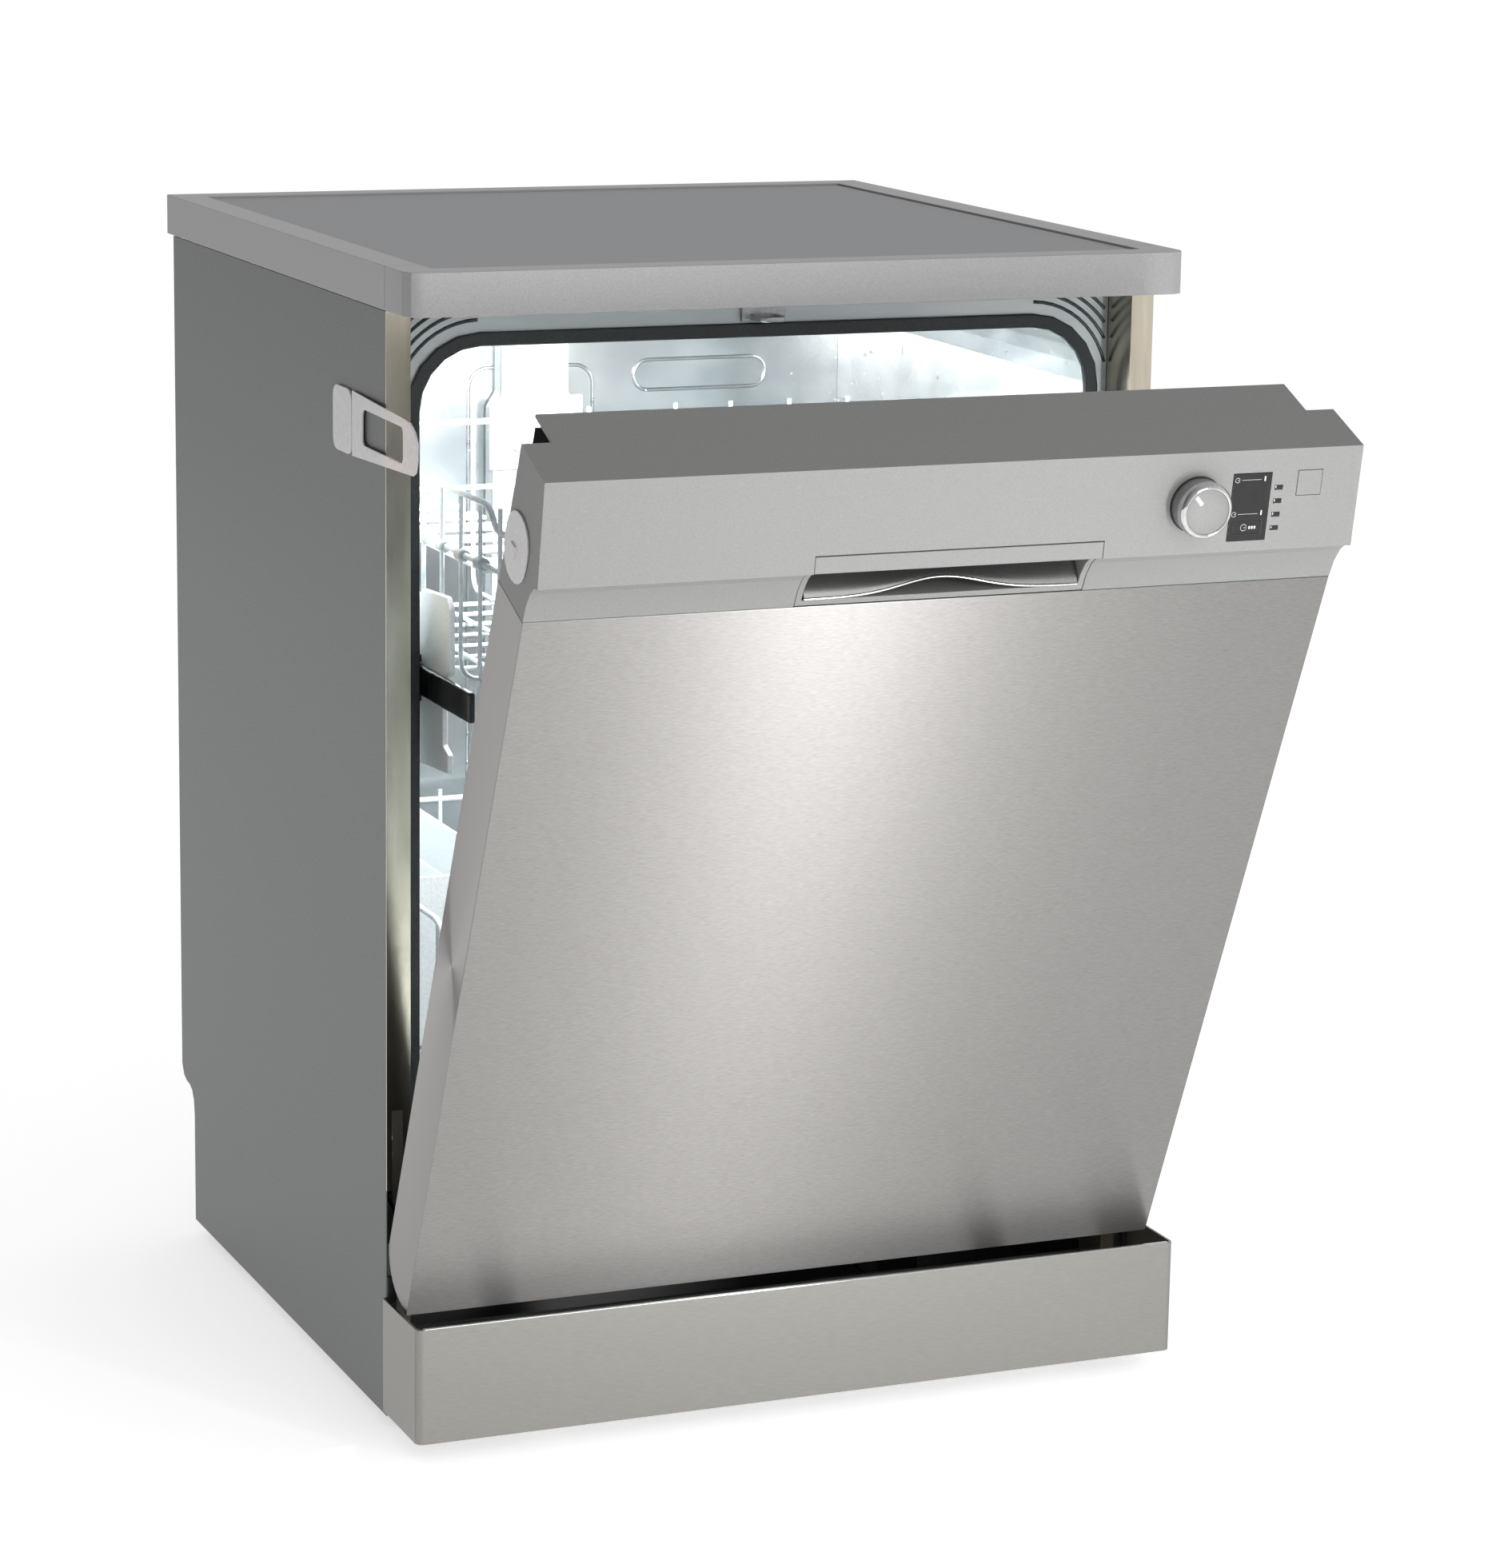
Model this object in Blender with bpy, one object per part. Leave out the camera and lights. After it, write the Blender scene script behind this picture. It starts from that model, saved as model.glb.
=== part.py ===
"""A free-standing dishwasher, 60 cm wide, with its door ajar and its upper rack part-way out.

Metres, +Z up, +Y towards the back, +X to the right seen from the front. Every piece is first drawn in
the cabinet's own axes: Y = 0 is the face of the two front posts, Z = 0 the floor, and the door is shut
and the racks are fully in. Empties then hold the door ajar and the rack forward. Each node is one
closed solid.
"""

import math

import bmesh
import bpy
from mathutils import Matrix, Vector

# Cabinet
CABINET_WIDTH = 0.598
CABINET_DEPTH = 0.540
CARCASS_TOP = 0.8185
BASE_DEPTH = CABINET_DEPTH - 0.036
PANEL_FOOT = 0.010
NOTCH_HEIGHT = 0.122
NOTCH_CURVE = (
    (0, -0.022),
    (0.06, -0.010),
    (0.2, -0.003),
    (0.4, 0),
    (0.65, 0.001),
    (0.85, 0.004),
    (1, 0.013),
)
SHEET = 0.0012
GAP = 0.0003
VALVE_X = -0.200
VALVE_Z = 0.042
FILTER_PLACE = (0.078, 0.215)
SALT_PLACE = (0.165, 0.400)
STUB_RADIUS = 0.0105

# Worktop
WORKTOP_WIDTH = CABINET_WIDTH + 0.002
WORKTOP_FRONT = -0.050
WORKTOP_BACK = CABINET_DEPTH + 0.014
WORKTOP_THICKNESS = 0.031
WORKTOP_RIM = 0.026
WORKTOP_LEDGE = 0.012
WORKTOP_SEAM = 0.0
WORKTOP_CORNER = 0.012

# Front posts, flange and tub
POST_WIDTH = 0.018
POST_DEPTH = 0.0375
HINGE_SLOT_BOTTOM = 0.118
HINGE_SLOT_TOP = 0.242
POST_NOTCH_TOP = 0.182
FLANGE_Y = 0.038
MOUTH_HALF_WIDTH = CABINET_WIDTH / 2 - 0.037
MOUTH_BOTTOM = 0.168
MOUTH_TOP = CARCASS_TOP - 0.0315
MOUTH_RADIUS = 0.045
GASKET_WIDTH = 0.0105
GASKET_DEPTH = 0.0040
TUB_BACK = CABINET_DEPTH - 0.040
TUB_FLOOR = 0.165
LEDGE_HEIGHT = 0.2055
LEDGE_WIDTH = 0.032

# Door, drawn shut
DOOR_WIDTH = CABINET_WIDTH - 0.002
DOOR_FACE = -0.055
DOOR_DEPTH = 0.052
DOOR_BOTTOM_RADIUS = 0.0333
DOOR_REST_ANGLE = 23.5
HINGE_Y = -0.0345
HINGE_Z = 0.1389
STEEL_TOP = CARCASS_TOP - 0.1163
LINER_HALF_WIDTH = DOOR_WIDTH / 2 - 0.0235
LINER_BACK = 0.033
LINER_DEPTH = 0.045
LINER_BOTTOM = 0.150
LINER_TOP = CARCASS_TOP - 0.0225
PIN_RADIUS = 0.0035
DISPENSER_LOW = (-0.085, 0.395)
DISPENSER_HIGH = (0.115, 0.500)
CHAMBER_LOW = (-0.070, 0.416)
CHAMBER_HIGH = (0.016, 0.480)
RINSE_PLACE = (0.068, 0.448)
DISPENSER_PROUD = 0.0015

# Control panel, on its tilted face: x across, t up the face, out from it
PANEL_BOTTOM = CARCASS_TOP - 0.0810
PANEL_BULGE = 0.0151
PANEL_LENGTH = 0.0722
PANEL_TILT = 13.8
PANEL_WALL = 0.0025
PANEL_MIDDLE_INSET = 0.0213
PANEL_MIDDLE_BACK = 0.0305
KNOB_X = 0.1735
KNOB_T = 0.0355
KNOB_RADIUS = 0.0193
KNOB_HEIGHT = 0.0170
DISPLAY_BOX = (0.2000, 0.0077, 0.2293, 0.0557)
SELECT_BOX = (0.2037, 0.0119, 0.2251, 0.0224)
POWER_BOX = (0.2497, 0.0384, 0.2683, 0.0562)
LIGHT_X = 0.2357
LIGHT_T = 0.0158
LIGHT_PITCH = 0.00967
LIGHT_SIZE = (0.0058, 0.0028)
LIGHT_COUNT = 4
FLAP_LEFT = -0.1047
FLAP_RIGHT = 0.1068
FLAP_HEIGHT = 0.0121
BUTTON_GAP = 0.0003

# Racks, drawn fully in
WIRE = 0.004
UPPER_HALF_WIDTH = MOUTH_HALF_WIDTH - 0.0145
UPPER_FRONT = 0.050
UPPER_BACK = TUB_BACK - 0.030
UPPER_FLOOR = MOUTH_TOP - 0.235
UPPER_RIM = UPPER_FLOOR + 0.140
UPPER_REST_SHIFT = 0.1353
RAIL_REST_SHIFT = 0.1025
RAIL_LENGTH = TUB_BACK - 0.070
RAIL_HEIGHT = 0.022
RAIL_Z = UPPER_FLOOR - 0.006
LOWER_HALF_WIDTH = MOUTH_HALF_WIDTH - 0.0265
LOWER_FRONT = 0.055
LOWER_BACK = TUB_BACK - 0.032
LOWER_FLOOR = 0.235
LOWER_RIM = LOWER_FLOOR + 0.127
WHEEL_RADIUS = 0.018
ARM_CENTRE_Y = 0.262
LOWER_ARM_REACH = 0.212
UPPER_ARM_REACH = 0.200
ARM_THICKNESS = 0.012
LOWER_ARM_Z = TUB_FLOOR + 0.0145
UPPER_ARM_Z = UPPER_FLOOR - 0.049

# Plinth, feet and child lock
PLINTH_WIDTH = CABINET_WIDTH + 0.007
PLINTH_FRONT = -0.079
PLINTH_BOTTOM = 0.0155
PLINTH_TOP = 0.1015
PLINTH_WALL = 0.002
FOOT_RADIUS = 0.018
FOOT_HEIGHT = 0.0122
LOCK_Z = CARCASS_TOP - 0.0875
LOCK_HALF_HEIGHT = 0.0235
LOCK_HINGE_Y = 0.072
LOCK_REACH = 0.157
LOCK_WINDOW_NEAR = -0.0256
LOCK_WINDOW_FAR = -0.1240
LOCK_FLARE = 1.5
LOCK_STRAP = 0.0014

# How far the drawing's front plane stands before the middle of the whole machine
ORIGIN_SHIFT_Y = -0.1113

OVERALL_HEIGHT = CARCASS_TOP + 2 * GAP + WORKTOP_THICKNESS
SIDE_X = CABINET_WIDTH / 2
POST_INNER_X = SIDE_X - POST_WIDTH
TUB_HALF_WIDTH = MOUTH_HALF_WIDTH + 0.002
TUB_ROOF = MOUTH_TOP + 0.002
LINER_INNER_Y = LINER_BACK - SHEET
ARM_X = SIDE_X - 0.008
PIVOT = Vector((0, HINGE_Y, HINGE_Z))
PANEL_ANGLE = math.radians(PANEL_TILT)
PANEL_FOOT_Y = DOOR_FACE - PANEL_BULGE
PANEL_TOP_Y = PANEL_FOOT_Y + PANEL_LENGTH * math.sin(PANEL_ANGLE)
DOOR_TOP = PANEL_BOTTOM + PANEL_LENGTH * math.cos(PANEL_ANGLE)
DOOR_BACK = DOOR_FACE + DOOR_DEPTH
DISPENSER_FACE = LINER_BACK + DISPENSER_PROUD

STEEL = ((0.62, 0.61, 0.59), 0.32, 1.0)
BRIGHT_STEEL = ((0.72, 0.75, 0.76), 0.18, 1.0)
GREY_PAINT = ((0.155, 0.162, 0.165), 0.45, 0.6)
SILVER_PLASTIC = ((0.45, 0.46, 0.45), 0.40, 0.5)
WORKTOP_SILVER = ((0.42, 0.42, 0.43), 0.42, 0.3)
BLACK_PLASTIC = ((0.015, 0.015, 0.016), 0.45, 0.0)
WHITE_PLASTIC = ((0.78, 0.80, 0.80), 0.40, 0.0)
GREY_PLASTIC = ((0.30, 0.31, 0.32), 0.50, 0.0)
COATED_WIRE = ((0.50, 0.56, 0.60), 0.35, 0.0)
RUBBER = ((0.018, 0.020, 0.022), 0.60, 0.0)
CHROME = ((0.80, 0.80, 0.80), 0.08, 1.0)
ZINC = ((0.50, 0.50, 0.50), 0.35, 1.0)
LOCK_PLASTIC = ((0.68, 0.62, 0.63), 0.35, 0.0)
BOARD_GREEN = ((0.03, 0.16, 0.06), 0.50, 0.0)


def clear_scene():
    for obj in list(bpy.data.objects):
        bpy.data.objects.remove(obj, do_unlink=True)


def empty(name, location, parent=None, turn_x=0.0):
    obj = bpy.data.objects.new(name, None)
    obj.location = location
    obj.rotation_euler = (turn_x, 0, 0)
    obj.parent = parent
    bpy.context.scene.collection.objects.link(obj)
    return obj


def paint(obj, finish):
    colour, roughness, metallic = finish
    material = bpy.data.materials.new(obj.name)
    material.use_nodes = True
    shader = material.node_tree.nodes["Principled BSDF"]
    shader.inputs["Base Color"].default_value = (*colour, 1)
    shader.inputs["Roughness"].default_value = roughness
    shader.inputs["Metallic"].default_value = metallic
    obj.data.materials.append(material)


def solid(name, bm, frame, finish=None, at=(0, 0, 0), smooth=False):
    """Makes an object of a bmesh. Without a finish it is a tool for a Boolean, and no piece."""
    bmesh.ops.remove_doubles(bm, verts=bm.verts, dist=1e-6)
    bmesh.ops.recalc_face_normals(bm, faces=bm.faces)
    mesh = bpy.data.meshes.new(name)
    bm.to_mesh(mesh)
    bm.free()
    obj = bpy.data.objects.new(name, mesh)
    obj.parent = frame
    obj.location = Vector(at)
    bpy.context.scene.collection.objects.link(obj)
    if finish is None:
        obj.hide_render = True
        obj.display_type = "WIRE"
    else:
        paint(obj, finish)
    if smooth:
        mesh.shade_smooth()
        mesh.set_sharp_from_angle(angle=math.radians(35))
    return obj


def boolean(obj, operation, name, bm):
    """Cuts the shapes in bm from obj, or joins them to it."""
    tool = solid(name, bm, obj.parent, at=obj.location)
    modifier = obj.modifiers.new(name, "BOOLEAN")
    modifier.operation = operation
    modifier.solver = "EXACT"
    modifier.object = tool


def add_box(bm, low, high):
    low, high = Vector(low), Vector(high)
    size = high - low
    scale = Matrix.Diagonal((*size, 1))
    bmesh.ops.create_cube(bm, size=1, matrix=Matrix.Translation((low + high) / 2) @ scale)


def add_cylinder(bm, centre, axis, radius, length, sides=24):
    """A cylinder that starts at centre and runs along +axis."""
    turn = Vector(axis).to_track_quat("Z", "Y").to_matrix().to_4x4()
    middle = Vector(centre) + Vector(axis) * length / 2
    bmesh.ops.create_cone(
        bm,
        cap_ends=True,
        segments=sides,
        radius1=radius,
        radius2=radius,
        depth=length,
        matrix=Matrix.Translation(middle) @ turn,
    )


def lift(plane, a, b, c):
    """The point with a and b in the plane's own axes and c along its normal."""
    return {"YZ": (c, a, b), "XZ": (a, c, b), "XY": (a, b, c)}[plane]


def extrude(bm, faces, plane, depth):
    made = bmesh.ops.extrude_face_region(bm, geom=faces)["geom"]
    corners = [item for item in made if isinstance(item, bmesh.types.BMVert)]
    bmesh.ops.translate(bm, verts=corners, vec=lift(plane, 0, 0, depth))


def add_prism(bm, outline, plane, low, high):
    corners = [bm.verts.new(lift(plane, a, b, low)) for a, b in outline]
    extrude(bm, [bm.faces.new(corners)], plane, high - low)


def add_ring(bm, outer, inner, plane, low, high):
    """A flat ring between two outlines."""
    loops = []
    for outline in (outer, inner):
        corners = [bm.verts.new(lift(plane, a, b, low)) for a, b in outline]
        loops += [bm.edges.new((corners[i - 1], corners[i])) for i in range(len(corners))]
    faces = bmesh.ops.bridge_loops(bm, edges=loops)["faces"]
    extrude(bm, faces, plane, high - low)


def add_turned(bm, profile, centre, axis, steps=32):
    """Spins (radius, height) points round the axis through centre."""
    turn = Vector(axis).to_track_quat("Z", "Y").to_matrix().to_4x4()
    place = Matrix.Translation(centre) @ turn
    corners = [bm.verts.new(place @ Vector((radius, 0, height))) for radius, height in profile]
    edges = [bm.edges.new(pair) for pair in zip(corners, corners[1:])]
    if min(radius for radius, _ in profile) > 0:
        edges.append(bm.edges.new((corners[-1], corners[0])))
    bmesh.ops.spin(
        bm,
        geom=corners + edges,
        cent=centre,
        axis=Vector(axis),
        angle=2 * math.pi,
        steps=steps,
        use_merge=True,
    )


def rounded(low_a, low_b, high_a, high_b, radius, steps=5):
    """The outline of a rectangle with round corners."""
    points = []
    corners = ((high_a, high_b), (low_a, high_b), (low_a, low_b), (high_a, low_b))
    for index, (a, b) in enumerate(corners):
        centre_a = a - radius if a == high_a else a + radius
        centre_b = b - radius if b == high_b else b + radius
        for step in range(steps + 1):
            angle = math.radians(90) * (index + step / steps)
            points.append((centre_a + radius * math.cos(angle), centre_b + radius * math.sin(angle)))
    return points


def mirrored(sign, low, high):
    """The extent low to high on the right, or its mirror image on the left."""
    return (low, high) if sign > 0 else (-high, -low)


def bevel_edges(obj, width, segments=2, angle=40):
    modifier = obj.modifiers.new("edges", "BEVEL")
    modifier.width = width
    modifier.segments = segments
    modifier.limit_method = "ANGLE"
    modifier.angle_limit = math.radians(angle)


# ---------------------------------------------------------------- worktop


def worktop(frame):
    low, high = CARCASS_TOP + 2 * GAP, OVERALL_HEIGHT
    half = WORKTOP_WIDTH / 2
    inner = half - WORKTOP_RIM
    shelf = inner - WORKTOP_LEDGE
    board_back = WORKTOP_BACK - WORKTOP_RIM
    board_front = WORKTOP_FRONT + WORKTOP_RIM
    ledge_top = low + 0.0075
    chamfer = WORKTOP_CORNER

    bm = bmesh.new()
    start = WORKTOP_SEAM + GAP
    add_prism(
        bm,
        [
            (-half, start),
            (-inner, start),
            (-inner, board_back),
            (inner, board_back),
            (inner, start),
            (half, start),
            (half, WORKTOP_BACK),
            (-half, WORKTOP_BACK),
        ],
        "XY",
        low,
        high,
    )
    rim = solid("worktop_frame", bm, frame, WORKTOP_SILVER)
    bm = bmesh.new()
    sunk = 0.004
    add_prism(
        bm,
        [
            (-inner - sunk, start + sunk),
            (-shelf, start + sunk),
            (-shelf, board_back - WORKTOP_LEDGE),
            (shelf, board_back - WORKTOP_LEDGE),
            (shelf, start + sunk),
            (inner + sunk, start + sunk),
            (inner + sunk, board_back + sunk),
            (-inner - sunk, board_back + sunk),
        ],
        "XY",
        low + 0.001,
        ledge_top,
    )
    boolean(rim, "UNION", "worktop_frame_ledge", bm)

    bm = bmesh.new()
    stop = WORKTOP_SEAM - GAP
    add_prism(
        bm,
        [
            (-half, stop),
            (-half, WORKTOP_FRONT + chamfer),
            (-half + chamfer * 0.3, WORKTOP_FRONT + chamfer * 0.3),
            (-half + chamfer, WORKTOP_FRONT),
            (half - chamfer, WORKTOP_FRONT),
            (half - chamfer * 0.3, WORKTOP_FRONT + chamfer * 0.3),
            (half, WORKTOP_FRONT + chamfer),
            (half, stop),
            (inner, stop),
            (inner, board_front),
            (-inner, board_front),
            (-inner, stop),
        ],
        "XY",
        low,
        high,
    )
    trim = solid("worktop_front_trim", bm, frame, WORKTOP_SILVER)
    bm = bmesh.new()
    add_box(
        bm,
        (-inner + 0.02, board_front - sunk, low + 0.001),
        (inner - 0.02, board_front + WORKTOP_LEDGE, ledge_top),
    )
    boolean(trim, "UNION", "worktop_trim_ledge", bm)

    bm = bmesh.new()
    add_prism(
        bm,
        rounded(
            -inner + 2 * GAP,
            board_front + 2 * GAP,
            inner - 2 * GAP,
            board_back - 2 * GAP,
            0.004,
            2,
        ),
        "XY",
        ledge_top + GAP,
        high - 0.0015,
    )
    solid("worktop_board", bm, frame, WORKTOP_SILVER)


# ---------------------------------------------------------------- carcass


def side_outline():
    """A side panel seen from its side, with the S-curved notch at its lower back."""
    front = 0.0018
    curve = [(BASE_DEPTH, PANEL_FOOT)]
    for share_y, rise in NOTCH_CURVE:
        curve.append((BASE_DEPTH + (CABINET_DEPTH - BASE_DEPTH) * share_y, NOTCH_HEIGHT + rise))
    return [(front, CARCASS_TOP), (front, PANEL_FOOT), *curve, (CABINET_DEPTH, CARCASS_TOP)]


def side_panels(frame):
    for name, sign in (("left", -1), ("right", 1)):
        low, high = mirrored(sign, SIDE_X - SHEET, SIDE_X)
        bm = bmesh.new()
        add_prism(bm, side_outline(), "YZ", low, high)
        solid(f"side_panel_{name}", bm, frame, GREY_PAINT)


def rear_panel(frame):
    inner = SIDE_X - SHEET - GAP
    bm = bmesh.new()
    add_box(
        bm,
        (-inner, CABINET_DEPTH - SHEET, NOTCH_HEIGHT + 0.020),
        (inner, CABINET_DEPTH, CARCASS_TOP),
    )
    panel = solid("rear_panel", bm, frame, ZINC)
    bm = bmesh.new()
    for row in range(3):
        z = NOTCH_HEIGHT + 0.118 + (CARCASS_TOP - NOTCH_HEIGHT - 0.0365) * row / 3
        add_box(
            bm,
            (-inner + 0.05, CABINET_DEPTH - SHEET / 2, z),
            (inner - 0.05, CABINET_DEPTH + 0.0025, z + 0.10),
        )
    boolean(panel, "UNION", "rear_panel_swages", bm)


def base_pan(frame):
    inner = SIDE_X - SHEET - GAP
    front, back = FLANGE_Y + 0.002, BASE_DEPTH - 0.002
    bottom, top, wall = FOOT_HEIGHT + GAP, 0.062, 0.003
    bm = bmesh.new()
    add_box(bm, (-inner, front, bottom), (inner, back, top))
    pan = solid("base_pan", bm, frame, GREY_PLASTIC)
    bm = bmesh.new()
    add_box(
        bm,
        (-inner + wall, front + wall, bottom + wall),
        (inner - wall, back - wall, top + 0.01),
    )
    boolean(pan, "DIFFERENCE", "base_pan_hollow", bm)
    bm = bmesh.new()
    for x, y in foot_places():
        add_cylinder(bm, (x, y, bottom - 0.01), (0, 0, 1), 0.0055, 0.020, 16)
    add_cylinder(bm, (VALVE_X, back - 0.01, VALVE_Z), (0, 1, 0), 0.0155, 0.02, 24)
    add_box(bm, (0.195, back - 0.01, 0.035), (0.225, back + 0.01, 0.050))
    boolean(pan, "DIFFERENCE", "base_pan_holes", bm)


def foot_places():
    x, front, back = SIDE_X - 0.037, 0.085, BASE_DEPTH - 0.049
    return [(-x, front), (x, front), (-x, back), (x, back)]


def feet(frame):
    names = ("front_left", "front_right", "rear_left", "rear_right")
    for name, (x, y) in zip(names, foot_places()):
        bm = bmesh.new()
        profile = [
            (0, 0),
            (FOOT_RADIUS - 0.001, 0),
            (FOOT_RADIUS, 0.001),
            (FOOT_RADIUS, FOOT_HEIGHT - 0.004),
            (FOOT_RADIUS - 0.002, FOOT_HEIGHT - 0.002),
            (0.005, FOOT_HEIGHT - 0.002),
            (0.005, 0.048),
            (0, 0.048),
        ]
        add_turned(bm, profile, (0, 0, 0), (0, 0, 1), 20)
        solid(f"foot_{name}", bm, frame, BLACK_PLASTIC, (x, y, 0), smooth=True)


def plinth(frame):
    half, wall = PLINTH_WIDTH / 2, PLINTH_WALL
    radius = 0.005
    back = -0.001
    outline = [(-half, back), (-half, PLINTH_FRONT + radius)]
    outline += [(-half + radius * 0.3, PLINTH_FRONT + radius * 0.3)]
    outline += [(-half + radius, PLINTH_FRONT), (half - radius, PLINTH_FRONT)]
    outline += [(half - radius * 0.3, PLINTH_FRONT + radius * 0.3)]
    outline += [(half, PLINTH_FRONT + radius), (half, back), (half - wall, back)]
    outline += [(half - wall, PLINTH_FRONT + radius), (half - radius, PLINTH_FRONT + wall)]
    outline += [(-half + radius, PLINTH_FRONT + wall), (-half + wall, PLINTH_FRONT + radius)]
    outline += [(-half + wall, back)]
    bm = bmesh.new()
    add_prism(bm, outline, "XY", PLINTH_BOTTOM, PLINTH_TOP)
    board = solid("plinth", bm, frame, STEEL)
    bm = bmesh.new()
    for x in (-0.20, 0.20):
        add_box(
            bm,
            (x - 0.012, PLINTH_FRONT + wall / 2, 0.022),
            (x + 0.012, FLANGE_Y + 0.002 - GAP, 0.030),
        )
    boolean(board, "UNION", "plinth_clips", bm)


def front_posts(frame):
    """Bright folded uprights. Each has the slot that the hinge arm swings in, and the hinge's pin."""
    slot_low, slot_high = ARM_X - 0.0040, ARM_X + 0.0040
    outline = [
        (POST_INNER_X, PANEL_FOOT),
        (slot_high, PANEL_FOOT),
        (slot_high, HINGE_SLOT_BOTTOM),
        (slot_low, HINGE_SLOT_BOTTOM),
        (slot_low, HINGE_SLOT_TOP),
        (slot_high, HINGE_SLOT_TOP),
        (slot_high, POST_NOTCH_TOP),
        (SIDE_X, POST_NOTCH_TOP),
        (SIDE_X, CARCASS_TOP),
        (POST_INNER_X, CARCASS_TOP),
    ]
    for name, sign in (("left", -1), ("right", 1)):
        bm = bmesh.new()
        add_prism(bm, [(sign * x, z) for x, z in outline], "XZ", 0, 0.0015)
        post = solid(f"front_post_{name}", bm, frame, STEEL)
        low, high = mirrored(sign, POST_INNER_X + 0.00002, POST_INNER_X + 0.0015)
        bm = bmesh.new()
        add_box(bm, (low, 0.0005, PANEL_FOOT + 0.0001), (high, POST_DEPTH, CARCASS_TOP - 0.0001))
        boolean(post, "UNION", f"post_return_{name}", bm)
        bm = bmesh.new()
        low, high = mirrored(sign, slot_low - 0.0027, slot_low - 0.0002)
        ear = [(0.001, HINGE_Z + 0.012), (0.001, HINGE_Z - 0.012)]
        for step in range(9):
            angle = math.radians(270 - 22.5 * step)
            ear.append((HINGE_Y + 0.0085 * math.cos(angle), HINGE_Z + 0.0085 * math.sin(angle)))
        add_prism(bm, ear, "YZ", low, high)
        boolean(post, "UNION", f"post_ear_{name}", bm)
        bm = bmesh.new()
        start = sign * (slot_low - 0.0015)
        add_cylinder(bm, (start, HINGE_Y, HINGE_Z), (sign, 0, 0), PIN_RADIUS, 0.0080, 16)
        boolean(post, "UNION", f"post_pin_{name}", bm)


# ---------------------------------------------------------------- tub


def mouth(grow=0.0, steps=5):
    return rounded(
        -MOUTH_HALF_WIDTH - grow,
        MOUTH_BOTTOM - grow,
        MOUTH_HALF_WIDTH + grow,
        MOUTH_TOP + grow,
        MOUTH_RADIUS + grow,
        steps,
    )


def tub_front_flange(frame):
    """The flat ring round the tub's mouth."""
    outer_x = POST_INNER_X - GAP
    bm = bmesh.new()
    outer = rounded(-outer_x, MOUTH_BOTTOM - 0.018, outer_x, CARCASS_TOP, 0.001)
    add_ring(bm, outer, mouth(), "XZ", FLANGE_Y, FLANGE_Y + 0.0015)
    solid("tub_front_flange", bm, frame, BRIGHT_STEEL)


def door_gasket(frame):
    bm = bmesh.new()
    add_ring(
        bm,
        mouth(GASKET_WIDTH),
        mouth(0.0002),
        "XZ",
        FLANGE_Y - GASKET_DEPTH,
        FLANGE_Y - GAP,
    )
    solid("door_gasket", bm, frame, RUBBER, smooth=True)


def tub_wrap(frame):
    """The tub's sides and roof, bent from one sheet."""
    floor = LEDGE_HEIGHT + 0.002
    arc = []
    for step in range(6):
        angle = math.radians(90) * step / 5
        arc.append(
            (
                TUB_HALF_WIDTH - MOUTH_RADIUS + MOUTH_RADIUS * math.cos(angle),
                TUB_ROOF - MOUTH_RADIUS + MOUTH_RADIUS * math.sin(angle),
            )
        )
    inner = [(TUB_HALF_WIDTH, floor), *arc]
    inner += [(-x, z) for x, z in reversed(inner)]
    grow = (TUB_HALF_WIDTH + SHEET) / TUB_HALF_WIDTH
    middle = TUB_ROOF - MOUTH_RADIUS
    outer = []
    for x, z in inner:
        rise = z - middle
        outer.append((x * grow, z if rise <= 0 else middle + rise * (1 + SHEET / MOUTH_RADIUS)))
    bm = bmesh.new()
    add_prism(bm, inner + outer[::-1], "XZ", FLANGE_Y + 0.0018, TUB_BACK - GAP)
    solid("tub_wrap", bm, frame, BRIGHT_STEEL)


def tub_back_wall(frame):
    """The sheet that closes the tub at the back."""
    bm = bmesh.new()
    outer = rounded(
        -TUB_HALF_WIDTH - SHEET,
        TUB_FLOOR,
        TUB_HALF_WIDTH + SHEET,
        TUB_ROOF + SHEET,
        MOUTH_RADIUS,
    )
    add_prism(bm, outer, "XZ", TUB_BACK, TUB_BACK + SHEET)
    solid("tub_back_wall", bm, frame, BRIGHT_STEEL)


def tub_floor(frame):
    """The pressed floor: a flat bottom with a raised ledge each side, where the lower rack's wheels run."""
    step_x = TUB_HALF_WIDTH - LEDGE_WIDTH
    edge = TUB_HALF_WIDTH
    wall = 0.0015
    bm = bmesh.new()
    outline = [
        (-edge, LEDGE_HEIGHT),
        (-edge, LEDGE_HEIGHT - wall),
        (-step_x - wall, LEDGE_HEIGHT - wall),
        (-step_x - wall, TUB_FLOOR),
        (step_x + wall, TUB_FLOOR),
        (step_x + wall, LEDGE_HEIGHT - wall),
        (edge, LEDGE_HEIGHT - wall),
        (edge, LEDGE_HEIGHT),
        (step_x, LEDGE_HEIGHT),
        (step_x, TUB_FLOOR + wall),
        (-step_x, TUB_FLOOR + wall),
        (-step_x, LEDGE_HEIGHT),
    ]
    add_prism(bm, outline, "XZ", FLANGE_Y + 0.0018, TUB_BACK - GAP)
    pan = solid("tub_floor", bm, frame, BRIGHT_STEEL)
    bm = bmesh.new()
    low, tall = TUB_FLOOR - 0.01, 0.02
    add_cylinder(bm, (*FILTER_PLACE, low), (0, 0, 1), 0.0365, tall, 28)
    add_cylinder(bm, (*SALT_PLACE, low), (0, 0, 1), 0.0325, tall, 28)
    add_cylinder(bm, (0, ARM_CENTRE_Y, low), (0, 0, 1), STUB_RADIUS + 0.0005, tall, 20)
    boolean(pan, "DIFFERENCE", "tub_floor_holes", bm)


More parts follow.
